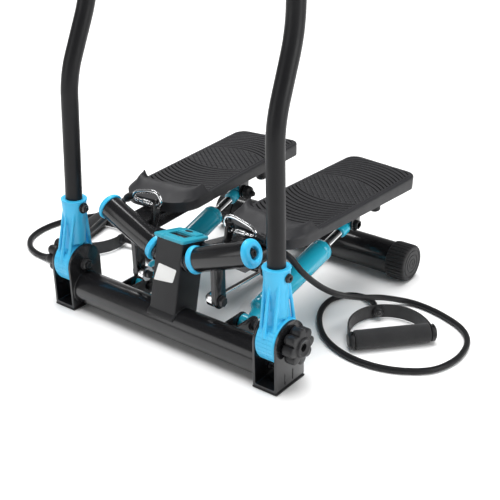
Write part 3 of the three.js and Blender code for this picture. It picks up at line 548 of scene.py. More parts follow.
def handle(hand, place):
    """A webbing strap from a foam grip's core to the hub that the cord goes into."""
    parts = []

    def add(name, shape, material, *nodes, bevel=0.0):
        parts.append(finish_piece(f"{name}_{hand}", shape, material, "base", nodes, bevel=bevel))

    add("strap", strap_band(place), WEBBING, f"handle_strap_{hand}")
    foam = bmesh.new()
    crown = 0.4
    profile = soften([(12.2, -FOAM_HALF), (FOAM_R, -FOAM_HALF), (FOAM_R, 0), (FOAM_R, FOAM_HALF),
                      (12.2, FOAM_HALF)], 2.2, 4)
    profile = [(p.x - crown * (p.y / FOAM_HALF) ** 2, p.y) for p in profile]
    lathe(foam, profile + [(11, FOAM_HALF), (11, -FOAM_HALF)], place @ along_x(0, 0, GRIP_Z), 56, looped=True)
    add("foam", foam, FOAM)
    ends = [(0, -GRIP_HALF), (10.5, -GRIP_HALF), (14.5, -GRIP_HALF + 3), (14.5, -GRIP_HALF + 9),
            (11, -GRIP_HALF + 10), (11, GRIP_HALF - 10), (14.5, GRIP_HALF - 9), (14.5, GRIP_HALF - 3),
            (10.5, GRIP_HALF), (0, GRIP_HALF)]
    slots = bmesh.new()
    for x in (-STRAP_SIDE, STRAP_SIDE):
        block(slots, (x - 2.4, -6, 0), (x + 2.4, 40, 40), place, 0.3)
    core = combined(turned(ends, place @ along_x(0, 0, GRIP_Z), 1.2, 56), slots, "DIFFERENCE")
    add("grip_core", core, PLASTIC, f"handle_grip_{hand}", bevel=0.4)
    out = place @ aim((0, CROWN, STRAP_Z), (0, 1, 0))
    shell = [(0, -8.5), (7.5, -8.5), (9.4, -6), (10.4, -1.5), (10.4, 1.5), (8.6, 4.5), (6.9, 6.2), (5.2, 6.2),
             (0, 6.2)]
    add("hub", turned(shell, out, 1.3, 40), PLASTIC)
    screw = bmesh.new()
    lathe(screw, [(0, -11.2), (3.4, -11.0), (4.6, -10), (4.8, -8.2), (0, -8.2)], out, 24)
    cross = bmesh.new()
    block(cross, (-3.4, -0.6, -12), (3.4, 0.6, -10.2), out, 0.2)
    add("hub_screw", combined(screw, cross, "DIFFERENCE"), HARDWARE)
    return parts


def crimp(hand, points):
    """The ribbed ferrule that holds the cord's end at the clip."""
    start = Vector(points[0])
    ahead = (Vector(points[1]) - start).normalized()
    profile = [(0, -1.5), (3.4, -1.5), (6.3, 1.5), (6.6, 4), (6.6, 15), (6.0, 17.5), (5.2, 18), (0, 18)]
    shape = turned(profile, aim(start, ahead), 1.0, 32)
    for h in (6, 9, 12):
        ring_between(shape, start + ahead * h, start + ahead * (h + 1.1), 7.0, 6.2, 32, 0.3)
    return finish_piece(f"crimp_{hand}", shape, PLASTIC)


for hand, route in (("right", RIGHT_CORD), ("left", LEFT_CORD)):
    line = catmull(route, 4)
    shape = bmesh.new()
    sweep(shape, line, CORD_R, 20)
    cord = finish_piece(f"cord_{hand}_rubber", shape, CORD, "base", (f"cord_{hand}",))
    carried = handle(hand, HANDLES[hand]) + [crimp(hand, route)]


# ---------------------------------------------------------------- light, floor
HORIZON_GLOW, ZENITH_GLOW, ZENITH_FROM = 0.40, 0.10, 0.75
BACKDROP_GLOW = 1.0

scene = bpy.context.scene
scene.view_settings.view_transform = "Standard"
world = bpy.data.worlds.new("studio")
scene.world = world
world.use_nodes = True
sky, sky_links = world.node_tree.nodes, world.node_tree.links
height = sky.new("ShaderNodeSeparateXYZ")
sky_links.new(sky.new("ShaderNodeTexCoord").outputs["Generated"], height.inputs["Vector"])
glow = remapped(sky, sky_links, height.outputs["Z"], (0.0, ZENITH_FROM), (HORIZON_GLOW, ZENITH_GLOW))
glow.node.interpolation_type = "SMOOTHSTEP"
backdrop = sky.new("ShaderNodeMix")
backdrop.inputs["B"].default_value = BACKDROP_GLOW
sky_links.new(sky.new("ShaderNodeLightPath").outputs["Is Camera Ray"], backdrop.inputs["Factor"])
sky_links.new(glow, backdrop.inputs["A"])
sky_links.new(backdrop.outputs["Result"], sky["Background"].inputs["Strength"])
sky["Background"].inputs["Color"].default_value = (1, 1, 1, 1)


def lamp(kind, name, place, target, power, seen=True):
    """A light turned to a target; an unseen one leaves no reflection of itself."""
    data = bpy.data.lights.new(name, kind)
    data.energy = power
    holder = linked(name, data)
    holder.location = place
    holder.rotation_euler = (Vector(target) - Vector(place)).to_track_quat("-Z", "Y").to_euler()
    holder.visible_glossy = seen
    return data


def softbox(name, place, target, power, wide, high):
    data = lamp("AREA", name, place, target, power)
    data.shape = "RECTANGLE"
    data.size = wide
    data.size_y = high


# One soft overhead light, as wide as a large diffuser, that falls off nowhere on the floor.
lamp("SUN", "overhead_diffuser", (0, 0, 0), (0.4, -0.4, -4.9), 4.1, seen=False).angle = radians(55)
softbox("streak_strip", (-0.9, 0.5, 2.0), (0, 0, 0.1), 16, 0.28, 2.4)
softbox("front_panel", (-0.9, -2.2, 1.0), (0, 0, 0.15), 9, 1.4, 1.3)
softbox("right_panel", (2.0, 0.1, 1.1), (0, 0, 0.1), 22, 1.0, 1.6)

FLOOR_HALF, FLOOR_Z = 9, -0.0004  # metres: it lies a hair below the feet
floor_mesh = bmesh.new()
bmesh.ops.create_grid(floor_mesh, x_segments=60, y_segments=60, size=FLOOR_HALF)
for vert in floor_mesh.verts:
    vert.co.z = FLOOR_Z
floor_data = bpy.data.meshes.new("floor")
floor_mesh.to_mesh(floor_data)
floor = linked("floor", floor_data)
floor_data.materials.append(surface("floor_paper", (0.86, 0.86, 0.86), (0.88, 0.88, 0.88), 0.6, 0.05,
                                    grain=0.02, grain_size=4))


# ---------------------------------------------------------------- base frame
shape = bmesh.new()
x_rod(shape, -CROSSBAR_HALF, CROSSBAR_HALF, (0, CROSSBAR_Z), CROSSBAR_R, 128, 0.8)
finish_piece("crossbar_tube", shape, GLOSS, "base", ("crossbar",))

shape = bmesh.new()
x, y, z = BASE_PIN
outline = [(20, z - 15)] + arc(y, z, 15, -90, 90, 12) + [(20, z + 15)]
for start in (x - 13.5, x + 9.5):
    plate(shape, outline, SIDEWAYS, start, start + 4, 0.7)
weld(shape, along_x(CROSSBAR_HALF - 0.8, 0, CROSSBAR_Z), CROSSBAR_R + 0.4, 1.5, 48)
pair("clevis_plates", shape, GLOSS)


def bracket():
    """A channel with two round-topped ears, bent from plate."""
    low, high = 3.0, 140.0
    y0, y1 = FOLD.y - EAR_R, FOLD.y + EAR_R

    def channel(x0, x1, z, reach, spare):
        section = soften([(x0, high), (x0, z), (x1, z), (x1, high)], reach, 4)
        made = bmesh.new()
        loft(made, [[Vector((p.x, y, p.y)) for p in section] for y in (y0 - spare, y1 + spare)])
        return made

    solid = bmesh.new()
    outline = [(y0, low), (y1, low)] + arc(FOLD.y, FOLD.z, EAR_R, 0, 180, 40)
    plate(solid, outline, SIDEWAYS, EAR_IN, EAR_OUT, 0.05)
    solid = combined(solid, channel(EAR_IN + EAR_T, EAR_OUT - EAR_T, low + EAR_T, 3.5, 5), "DIFFERENCE")
    return combined(solid, channel(EAR_IN, EAR_OUT, low, 3.2, 1), "INTERSECT")


pair("fold_bracket", bracket(), GLOSS, "base", "bracket_{}", bevel=0.7)

shape = bmesh.new()
x_rod(shape, EAR_IN - 8, EAR_IN - 0.1, FOLD.yz, 9.5, 6, 0.8)
weld(shape, along_x(EAR_IN - 0.6, FOLD.y, FOLD.z), 9.6, 1.2, 18)
pair("weld_nut", shape, HARDWARE)

shape = bmesh.new()
for y in (-11, 9):
    block(shape, (EAR_OUT - 0.3, y, 9), (EAR_OUT + 0.9, y + 1.6, 27), round_by=0.5)
x_rod(shape, EAR_IN + 3.9, EAR_IN + 7.5, (5, 20), 5, 6)
x_rod(shape, EAR_IN + 7, EAR_IN + 13, (5, 20), 2.6, 16, 0.5)
pair("ear_details", shape, HARDWARE)

shape = bmesh.new()
pad_over = 1.4
block(shape, (EAR_IN - pad_over, FOLD.y - EAR_R - pad_over, 0.1),
      (EAR_OUT + pad_over, FOLD.y + EAR_R + pad_over, 2.7), round_by=2.5)
pair("foot_pad", shape, RUBBER, "base", "bracket_foot_{}")


# ---------------------------------------------------------------- post
def post_front(z):
    return POST_FRONT + (z - POST_BASE) * POST_SLOPE


TOP_TILT = atan(POST_SLOPE)
POST_HEAD = Matrix.Translation((0, post_front(POST_TOP), POST_TOP)) @ Matrix.Rotation(-TOP_TILT, 4, "X")


def leaning_ring(outline, z=None, height=0.0):
    """The post's outline at a level, or where it meets the plane square to the post at its top."""
    made = []
    for x, depth in outline:
        if z is not None:
            made.append(Vector((x, post_front(z) + depth, z)))
            continue
        base = POST_FRONT + depth
        level = POST_TOP + height - POST_SLOPE * (base - POST_SLOPE * POST_BASE - post_front(POST_TOP))
        level /= 1 + POST_SLOPE ** 2
        made.append(Vector((x, base + POST_SLOPE * (level - POST_BASE), level)))
    return made


def post_outline(inset=0.0):
    half, deep = POST_HALF - inset, POST_DEEP - inset
    return soften([(-half, inset), (half, inset), (half, deep), (-half, deep)], 3.2, 4, looped=True)


shape = bmesh.new()
levels = [25.3, 26, 60, 100, 140]
rings = [leaning_ring(post_outline(0.6), z=25)] + [leaning_ring(post_outline(), z=z) for z in levels]
rings += [leaning_ring(post_outline(), height=-0.2)]
loft(shape, rings)
finish_piece("post_tube", shape, SATIN, "base", ("post",))

axis = Vector((cos(PIVOT_RISE) * cos(PIVOT_YAW), cos(PIVOT_RISE) * sin(PIVOT_YAW), sin(PIVOT_RISE)))
AXLE = aim(PIVOT, axis)


def on_axle(t):
    return PIVOT + axis * t


shape = bmesh.new()
rod_between(shape, on_axle(-24), on_axle(-2.4), 17, 48, 0.8)
rod_between(shape, on_axle(-24), on_axle(102.5), 9.8, 40, 0.8)
weld(shape, AXLE @ Matrix.Translation((0, 0, -12.5)), 17.2, 1.6, 26)
pair("pivot_boss", shape, GLOSS)

shape = bmesh.new()
block(shape, (POST_HALF - 1, 49, 150.4), (79, 58, 160), round_by=1.6)
tab_outline = [(49.5, 150.5), (57.5, 150.5)] + arc(66, 194, 10, -20, 170, 18) + [(50, 164)]
tab = bmesh.new()
plate(tab, tab_outline, SIDEWAYS, 74.6, 79.4, 0.8)
hole = bmesh.new()
x_rod(hole, 70, 84, (66, 194), 6.2, 32, 0.1)
pair("anchor_arm", shape, GLOSS)
pair("anchor_tab", combined(tab, hole, "DIFFERENCE"), GLOSS, bevel=0.4)

CAP_IN_FRONT, CAP_BACK, CAP_HALF, CAP_THICK = -5.0, 60.0, 31.5, 6.0
WINDOW = (-17.0, 17.5, 15.0, 36.0)
BUTTON_Y = 45.5


def rounded(x0, x1, y0, y1, r):
    return soften([(x0, y0), (x1, y0), (x1, y1), (x0, y1)], r * 1.2, 5, looped=True)


shape = bmesh.new()
plate(shape, rounded(-CAP_HALF, CAP_HALF, CAP_IN_FRONT, CAP_BACK, 5), POST_HEAD, 0.2, CAP_THICK, 1.4)
ridge = bmesh.new()
plate(ridge, rounded(-19, 23, 37.2, 56.5, 3), POST_HEAD, 3, CAP_THICK + 2.4, 1.4)
shape = combined(shape, ridge, "UNION")
tools = bmesh.new()
plate(tools, rounded(*WINDOW, 1.5), POST_HEAD, -4, 12, 0.1)
plate(tools, [(7.4 * cos(t), BUTTON_Y + 5.7 * sin(t)) for t in angles(32)], POST_HEAD, -4, 12, 0.1)
shape = combined(shape, tools, "DIFFERENCE")
# The cap shell takes the darker cyan copy, which paints the dim reflection on its top.
finish_piece("post_cap_shell", shape, CAP_CYAN_SHADED, "base", ("post_cap",), bevel=0.6)

shape = bmesh.new()
x0, x1, y0, y1 = WINDOW
plate(shape, rounded(x0 + 0.2, x1 - 0.2, y0 + 0.2, y1 - 0.2, 1.5), POST_HEAD, -3, CAP_THICK - 1.2, 0.4)
finish_piece("display_glass", shape, SCREEN, "base", ("display",))

shape = bmesh.new()
rings = [[POST_HEAD @ Vector((0, BUTTON_Y, -2))]]
for scale, h in ((1, -0.4), (1, 7.8), (0.92, 8.6), (0.75, 8.9), (0.5, 8.75)):
    rings.append([POST_HEAD @ Vector((6.9 * scale * cos(t), BUTTON_Y + 5.2 * scale * sin(t), h))
                  for t in angles(40)])
rings.append([POST_HEAD @ Vector((0, BUTTON_Y, 7.05))])
loft(shape, rings)
finish_piece("button_top", shape, RUBBER, "reset_button", ("reset_button",))


def over_bar(x, r, lift):
    """A point over the crossbar, at a radius and an angle up from its front."""
    return Vector((x, -r * cos(lift), CROSSBAR_Z + r * sin(lift)))


# The post's foot is dished to sit on the crossbar, with a bead of weld down each side.
shape = bmesh.new()
rings = []
for k in range(15):
    lift = radians(33 + 3 * k)
    inner, outer = CROSSBAR_R + 0.05, CROSSBAR_R + (1.0 if k in (0, 14) else 1.7)
    edge = [(POST_HALF, inner), (POST_HALF, outer - 0.5), (POST_HALF - 0.6, outer)]
    rings.append([over_bar(-x, r, lift) for x, r in edge] + [over_bar(x, r, lift) for x, r in reversed(edge)])
loft(shape, rings)
for x in (-POST_HALF + 1, POST_HALF - 1):
    rings = []
    for k in range(25):
        lift = radians(40 + 5.2 * k)
        fat = 1.9 + 0.3 * sin(k * 1.9)
        out = Vector((0, -cos(lift), sin(lift)))
        rings.append(circle(over_bar(x, CROSSBAR_R + 0.6, lift), fat, out, Vector((1, 0, 0)), 8))
    loft(shape, rings)
finish_piece("post_saddle", shape, SATIN)

# A plain white sticker on the front face.
lean = Matrix.Translation((0, POST_FRONT - POST_SLOPE * POST_BASE, 0)) @ Matrix(
    ((1, 0, 0, 0), (0, POST_SLOPE, -1, 0), (0, 1, POST_SLOPE, 0), (0, 0, 0, 1)))
shape = bmesh.new()
sticker = [(-24, 103.8), (15.8, 108.5), (20.8, 130.5), (-17, 132.6)]
plate(shape, soften(sticker, 2.4, 4, looped=True), lean, -0.05, 0.35, 0.12)
finish_piece("front_sticker", shape, LABEL)


# ---------------------------------------------------------------- spine, rear foot
(front_y, front_z), (rear_y, rear_z) = (62, 122), (384, 57)
section = soften([(-20, -15), (20, -15), (20, 15), (-20, 15)], 3.5, 4, looped=True)
shape = bmesh.new()
rings = []
for y in (60, 70, 200, 330, 392):
    z = front_z + (rear_z - front_z) / (rear_y - front_y) * (y - front_y)
    rings.append([Vector((p.x, y, z + p.y)) for p in section])
loft(shape, rings)
rod_between(shape, (0, ROCKER_Y, 66), (0, ROCKER_Y, 92), 5, 24)
rod_between(shape, (0, ROCKER_Y, 65.5), (0, ROCKER_Y, 69.5), 9, 6, 0.8)
finish_piece("spine_tube", shape, GLOSS, "base", ("spine",))

shape = bmesh.new()
x_rod(shape, -REAR_HALF, REAR_HALF, (REAR_Y, REAR_Z), REAR_R, 128, 1)
finish_piece("rear_tube", shape, GLOSS, "base", ("rear_stabilizer",))


def rear_cap():
    shape = bmesh.new()
    inner, outer, radius, ribs = 180.0, 218.0, 34.0, 30

    def ring(x, r, depth):
        made = []
        for t in angles(ribs * 12):
            groove = max(0.0, cos(ribs * t) - 0.35) / 0.65
            reach = r - depth * groove ** 0.6
            made.append(Vector((x, REAR_Y + reach * sin(t), REAR_Z - reach * cos(t))))
        return made

    body = [(inner, 29.9, 0), (inner, 30.7, 0), (inner, 32.0, 0), (inner + 0.8, 33.0, 0),
            (inner + 2.5, 33.3, 0.2), (inner + 4, radius, 1.5), (outer - 6, radius, 1.5),
            (outer - 3.5, 33.6, 1.3), (outer - 1.6, 32.6, 0.6), (outer - 0.5, 31.2, 0), (outer, 29.6, 0)]
    face = [(26.5, 0), (26.0, -0.9), (24.2, -0.9), (23.7, 0), (18.2, 0), (17.7, -0.9), (15.9, -0.9),
            (15.4, 0), (9.8, 0), (9.3, -0.9), (7.7, -0.9), (7.2, 0), (3.4, 0), (2.6, -0.7)]
    rings = [ring(x, r, d) for x, r, d in body] + [ring(outer + dx, r, 0) for r, dx in face]
    loft(shape, rings + [[Vector((outer - 0.8, REAR_Y, REAR_Z))]])
    return shape


pair("rear_foot_cap", rear_cap(), RUBBER, "base", "rear_cap_{}")


# ---------------------------------------------------------------- pedal pivots
LEFT_NEARER = 4.5  # the left flange sits this much nearer the post
for hand, shift in (("right", 0), ("left", LEFT_NEARER)):
    flange = [(0, -2.1), (20, -2.1), (22.8, -1.0), (23, 0.8), (21.4, 8.3), (0, 8.3)]
    finish_piece(f"bushing_flange_{hand}", turned([(r, t - shift) for r, t in flange], AXLE), CYAN,
                 f"pedal_assembly_{hand}", (f"inner_bushing_{hand}",), flip=hand == "left")
shape = bmesh.new()
ring_between(shape, on_axle(SLEEVE_START + 6 - LEFT_NEARER), on_axle(SLEEVE_START + 8), SLEEVE_R + 0.03,
             SLEEVE_BORE, 96)
finish_piece("sleeve_end_left", shape, GLOSS, "pedal_assembly_left", flip=True)
dome = [(0, 109), (22.4, 111.4), (22.9, 112.6), (22.9, 114.8), (21.6, 118.2), (18.6, 121), (14.8, 121.8),
        (11.6, 121.4), (10.6, 120), (10.2, 114), (0, 113.4)]
pair("end_cap_dome", turned(dome, AXLE, 0.9), CYAN, "pedal_assembly_{}", "end_cap_{}")
bolt = [(0, 100), (9, 113.6), (9, 115.2), (6.8, 115.6), (6.8, 119.2), (6, 120), (3.2, 120), (3.0, 117.5),
        (0, 117.5)]
pair("axle_bolt", turned(bolt, AXLE, 0.5, 36), HARDWARE, "base", "pivot_bolt_{}")

PEDAL_FRAME = (Matrix.Translation(PEDAL_AT) @ Matrix.Rotation(radians(-3), 4, "Z")
               @ Matrix.Rotation(radians(0.6), 4, "X") @ Matrix.Rotation(radians(1.5), 4, "Y"))


def pedal_carrier():
    shape = bmesh.new()
    ring_between(shape, on_axle(SLEEVE_START + 6), on_axle(SLEEVE_END), SLEEVE_R, SLEEVE_BORE, 96, 0.7)
    half = 13
    lever = arc(LEVER_Y, LEVER_Z, half, 180, 360, 20)
    lever += [(LEVER_Y + half, LEVER_Z + 62), (LEVER_Y - half, LEVER_Z + 62)]
    plate(shape, lever, SIDEWAYS, 85, 89, 0.8)
    flange = [(LEVER_Y - half, LEVER_Z + 2), (LEVER_Y - half + 3, LEVER_Z + 2),
              (LEVER_Y - half + 3, LEVER_Z + 64), (LEVER_Y - half, LEVER_Z + 64)]
    plate(shape, flange, SIDEWAYS, 80, 86.4, 0.8)
    section = soften([(-25, -45), (25, -45), (25, -21.6), (-25, -21.6)], 3, 4, looped=True)
    loft(shape, [[PEDAL_FRAME @ Vector((p.x, y, p.y)) for p in section] for y in (-407.5, -402, -200, -16)])
    px, py, pz = ROD_PIN
    top = 34.0
    ear = arc(py, pz, half, 180, 360, 20) + [(py + 14, pz + top), (py - 14, pz + top)]
    for x in (px - 13.5, px + 9.5):
        plate(shape, ear, SIDEWAYS, x, x + 4, 0.8)
    return shape


pair("pedal_carrier", pedal_carrier(), GLOSS, "pedal_assembly_{}", "pedal_frame_{}")

shape = bmesh.new()
x_rod(shape, 65, 92, LEVER, 4, 24)
x_rod(shape, 89.2, 91, LEVER, 10, 32, 0.4)
x_rod(shape, 90.6, 96, LEVER, 8.4, 6, 1.0)
x_rod(shape, 62, 67.8, LEVER, 7, 6, 0.8)
pair("lever_bolt", shape, HARDWARE, "pedal_assembly_{}", "lever_pin_{}")

start = PEDAL_FRAME @ Vector((3, -30, -45.3))
drop = start.z - 113
foot = [(0, -drop), (7.4, -drop), (8.8, -drop + 1.2), (10.6, -drop + 3.4), (10.2, -drop * 0.55), (11.2, -5),
        (12, -4), (12, -1), (0, -1)]
pair("stop_bumper", turned(foot, aim(start, (0, 0, 1)), 0.9, 40), RUBBER, "pedal_assembly_{}", "bumper_{}")


# ---------------------------------------------------------------- pedals
NOSE, HEEL = 46.0, 22.0
GUARD_START = -281.0


def pedal_loop(inset):
    """The pedal's outline, counter-clockwise from the left rear corner, always with the same count."""
    steps = 12
    half, front, rear = PEDAL_HALF - inset, -PEDAL_LONG + inset, -inset
    heel, nose = max(HEEL - inset, 1), max(NOSE - inset, 1)
    left = [(-half, rear - heel + (front + nose - rear + heel) * k / 24) for k in range(1, 24)]
    middle = [(-half + nose + (2 * half - 2 * nose) * k / 8, front) for k in range(1, 8)]
    right = [(half, front + nose + (rear - heel - front - nose) * k / 24) for k in range(1, 24)]
    back = [(half - heel - (2 * half - 2 * heel) * k / 12, rear) for k in range(1, 12)]
    return (arc(-half + heel, rear - heel, heel, 90, 180, steps) + left
            + arc(-half + nose, front + nose, nose, 180, 270, steps) + middle
            + arc(half - nose, front + nose, nose, 270, 360, steps) + right
            + arc(half - heel, rear - heel, heel, 0, 90, steps) + back)


def skirt_depth(y):
    return 24.5 - 7.0 * min(1.0, max(0.0, y / GUARD_START))


def pedal_body():
    shape = bmesh.new()
    lip = 5.2
    rings = [[Vector((x, y, -5)) for x, y in pedal_loop(lip)]]
    for inset, share in ((lip, 0.82), (lip, 1), (1.6, 1), (1.0, 0.985), (0.7, 0.93), (0.15, 0.3)):
        rings.append([Vector((x, y, -skirt_depth(y) * share)) for x, y in pedal_loop(inset)])
    for inset, z in ((0, -4), (0.25, -2.2), (0.9, -0.9), (1.9, -0.2), (3.2, 0)):
        rings.append([Vector((x, y, z)) for x, y in pedal_loop(inset)])
    loft(shape, [[PEDAL_FRAME @ p for p in ring] for ring in rings])
    return shape


def groove(distance, half_width, depth):
    """The depth of a groove with rounded shoulders, at a distance from its middle."""
    t = abs(distance) / half_width
    return 0.0 if t >= 1 else depth * (1 - t * t) ** 0.7


def tread_depth(x, y):
    rear_mid, front_mid, pitch, bow = -92.0, -199.0, 9.4, 106.0
    rise = bow - sqrt(bow * bow - x * x)
    for past in (y + rise - rear_mid, front_mid - (y - rise)):
        if past > -pitch / 2:
            return groove((past + pitch / 2) % pitch - pitch / 2, 1.9, 1.9)
    row = 5.2
    k = round(y / row)
    sway = 1.35 * sin(TAU * x / 12 + pi * (k % 2))
    return groove(y - k * row - sway, 1.1, 1.25)


def tread():
    """The grooved rubber inlay: two families of arcs about a field of small wavy lines."""
    shape = bmesh.new()
    half, front, rear, wide, corner = 66.0, -303.0, -6.5, 0.75, 17.0
    columns, rows = round(2 * half / wide), round((rear - front) / wide)
    grid = []
    for j in range(rows + 1):
        y = front + (rear - front) * j / rows
        over = max(0.0, y - (rear - corner))
        reach = half - (corner - sqrt(max(0.0, corner * corner - over * over)))
        line = []
        for i in range(columns + 1):
            x = -reach + 2 * reach * i / columns
            margin = min(reach - abs(x), rear - y)
            lift = 0.35 * min(1.0, margin / 1.2) - (0.9 if margin < 0.01 else 0)
            fade = min(1.0, max(0.0, (margin - 2.6) / 1.2))
            line.append(shape.verts.new(PEDAL_FRAME @ Vector((x, y, lift - tread_depth(x, y) * fade + 0.9))))
        grid.append(line)
    for a, b in zip(grid, grid[1:]):
        for i in range(columns):
            shape.faces.new((a[i], a[i + 1], b[i + 1], b[i]))
    rim = grid[0] + [line[-1] for line in grid[1:]] + grid[-1][-2::-1] + [line[0] for line in grid[-2:0:-1]]
    thick = PEDAL_FRAME.to_3x3() @ Vector((0, 0, 2.0))
    under = [shape.verts.new(v.co - thick) for v in rim]
    for i in range(len(rim)):
        j = (i + 1) % len(rim)
        shape.faces.new((rim[i], under[i], under[j], rim[j]))
    shape.faces.new(under)
    return shape


def u_line(half, front, corner, start=GUARD_START):
    """A U from the left side round the nose to the right side, always with the same count."""
    sides, bend, across = 14, 16, 12
    left = [(-half, start + (front + corner - start) * k / sides) for k in range(sides)]
    nose = arc(-half + corner, front + corner, corner, 180, 270, bend)
    middle = [(-half + corner + 2 * (half - corner) * k / across, front) for k in range(1, across)]
    return left + nose + middle + [(-x, y) for x, y in reversed(left + nose)]


def mix_xy(a, b, t):
    return (a[0] + (b[0] - a[0]) * t, a[1] + (b[1] - a[1]) * t)


def toe_guard():
    shape = bmesh.new()
    lines = (u_line(PEDAL_HALF + 0.5, -PEDAL_LONG - 0.5, NOSE), u_line(70.0, -349, 46, -288),
             u_line(63.5, -317, 19, -297), u_line(60.5, -311, 13, -297), u_line(56.5, -304, 8, -295))
    last = len(lines[0]) - 1
    rings = []
    for k, (outer, hood, crest, inner, foot) in enumerate(zip(*lines)):
        rise = min(1.0, 0.12 + (GUARD_START - outer[1]) / 11)
        middle = abs(2 * k / last - 1)
        top = (13.2 + 4.6 * min(1, middle * 1.35) ** 2) * rise + 0.4
        base = -skirt_depth(outer[1]) * 0.97
        wall = [(outer, base), (outer, base * 0.5), (outer, -2.0), (outer, 0.3),
                (mix_xy(outer, hood, 0.6), top * 0.22), (mix_xy(hood, crest, 0.18), top * 0.42),
                (mix_xy(hood, crest, 0.5), top * 0.7), (mix_xy(hood, crest, 0.8), top * 0.92), (crest, top),
                (mix_xy(crest, inner, 0.6), top * 0.985), (inner, top * 0.88),
                (mix_xy(inner, foot, 0.45), top * 0.5), (mix_xy(inner, foot, 0.8), top * 0.15), (foot, -0.3),
                (foot, -3), ((outer[0] * 0.94, outer[1] * 0.99), -3.2)]
        rings.append([PEDAL_FRAME @ Vector((x, y, z)) for (x, y), z in wall])
    loft(shape, rings)
    return shape


pair("pedal_body", pedal_body(), PEDAL, "pedal_assembly_{}", "pedal_{}")
pair("pedal_tread", tread(), PEDAL, "pedal_assembly_{}", crease=60)
# A near-black sheet just under the tread top shows through the groove bottoms as painted shadow.
shape = bmesh.new()
plate(shape, rounded(-65.4, 65.4, -302.4, -7.1, 16.4), PEDAL_FRAME, -0.6, 0.45, 0.1)
pair("tread_groove_shadow", shape, GROOVE_SHADOW_SHEET, "pedal_assembly_{}")
pair("toe_guard", toe_guard(), PEDAL, "pedal_assembly_{}", crease=60)


# ---------------------------------------------------------------- hydraulic cylinders
CYLINDER = aim(BASE_PIN, ROD_PIN - BASE_PIN)
CYLINDER_LONG = (ROD_PIN - BASE_PIN).length


def eye(shape, pin, half, outer, bore, edge):
    """The ring that a pin along X goes through."""
    ring_between(shape, pin - Vector((half, 0, 0)), pin + Vector((half, 0, 0)), outer, bore, 48, edge)


barrel = [(0, 12), (7, 12), (9, 20), (12, 27), (16.5, 30), (18.6, 32.5), (20, 36), (20, 40), (19.3, 41.2),
          (19.3, 43), (20, 44.2), (20, 196), (19.2, 197.4), (19.2, 199.4), (20, 200.8), (20, 205),
          (18.4, 209.5), (15.6, 212.6), (9.4, 213), (9.2, 208), (0, 207)]
shape = turned(barrel, CYLINDER, 0.9, 72)
eye(shape, BASE_PIN, 8.2, 13.5, 5.6, 1)
pair("barrel_paint", shape, TEAL, "barrel_{}", "cylinder_barrel_{}")

rod = [(0, 120), (8, 120), (8, CYLINDER_LONG - 13), (0, CYLINDER_LONG - 10)]
pair("rod_chrome", turned(rod, CYLINDER, 0.6, 72), CHROME, "rod_{}", "cylinder_rod_{}")
rod_end = [(0, CYLINDER_LONG - 32), (10.5, CYLINDER_LONG - 32), (11.5, CYLINDER_LONG - 30),
           (11.5, CYLINDER_LONG - 17), (9, CYLINDER_LONG - 11), (0, CYLINDER_LONG - 11)]
shape = turned(rod_end, CYLINDER, 0.8, 72)
eye(shape, ROD_PIN, 7.5, 12.5, 7.4, 0.9)
pair("rod_eye", shape, TEAL, "rod_{}")
seal = [(0, 212), (11.6, 212), (12.6, 213.4), (12.6, 216), (11.4, 217.6), (8.3, 217.8), (0, 217)]
pair("rod_seal", turned(seal, CYLINDER, 0.6, 72), RUBBER, "barrel_{}")

shape = bmesh.new()
x = BASE_PIN.x
x_rod(shape, x - 19, x + 17, BASE_PIN.yz, 4.9, 24)
x_rod(shape, x + 13.9, x + 15.4, BASE_PIN.yz, 9.4, 36, 0.4)
for start, end in ((x + 15, x + 20), (x - 20, x - 14)):
    x_rod(shape, start, end, BASE_PIN.yz, 8, 6, 1.1)
pair("base_bolt", shape, HARDWARE, "base", "clevis_bolt_{}")


def height_knob():
    shape = bmesh.new()
    x = ROD_PIN.x
    x_rod(shape, x - 16, x + 20, ROD_PIN.yz, 5.8, 28)
    x_rod(shape, x + 14, x + 20, ROD_PIN.yz, 8.5, 6, 0.9)
    flutes = 12
    profile = [(15, 11, 0), (16, 12.2, 0), (18, 13, 0.2), (19, 13, 1), (25, 12.4, 1), (26.5, 11.4, 0.7),
               (28, 8, 0), (29, 6.4, 0), (33, 5.6, 0), (36, 4.2, 0), (37, 2.4, 0)]
    loft(shape, [[about_x(x - h, ROD_PIN, r - flute * 1.1 * max(0.0, cos(flutes * t)) ** 0.7, t)
                  for t in angles(flutes * 8)] for h, r, flute in profile])
    return shape


pair("height_knob_grip", height_knob(), PLASTIC, "height_knob_{}", "height_knob_{}")

# ---------------------------------------------------------------- coupling under the post
shape = bmesh.new()
rod_between(shape, (TIE_X, LEVER_Y + 11, LEVER_Z), (TIE_X, ROCKER_Y, 81), 4, 24)
rod_between(shape, (TIE_X, ROCKER_Y, 67), (TIE_X, ROCKER_Y, 86), 4, 24)
ring_between(shape, (TIE_X - 5.5, *LEVER), (TIE_X + 5.5, *LEVER), 12.5, 5, 56, 1.0)
pair("tie_rod_steel", shape, STEEL, "tie_rod_{}", "tie_rod_{}")

shape = bmesh.new()
outline = (arc(TIE_X, ROCKER_Y, 12, -90, 90, 16) + [(0, ROCKER_Y + 17)]
           + arc(-TIE_X, ROCKER_Y, 12, 90, 270, 16) + [(0, ROCKER_Y - 17)])
plate(shape, outline, Matrix(), 70.5, 75.5, 0.9)
tools = bmesh.new()
for x, r in ((0, 5.4), (TIE_X, 6), (-TIE_X, 6)):
    rod_between(tools, (x, ROCKER_Y, 60), (x, ROCKER_Y, 90), r, 32, 0.05)
shape = combined(shape, tools, "DIFFERENCE")
finish_piece("rocker_plate", shape, GLOSS, "rocker", ("rocker",))


# ---------------------------------------------------------------- handlebar
BEND_LOW, BEND_HIGH = 402.0, 520.0
COLLAR_LOW, COLLAR_TOP, COLLAR_BOLT = 168.0, 193.0, 180.0
DRUM_R, DRUM_IN, DRUM_OUT = 35.6, FOLD.x - 17.7, FOLD.x + 17.7


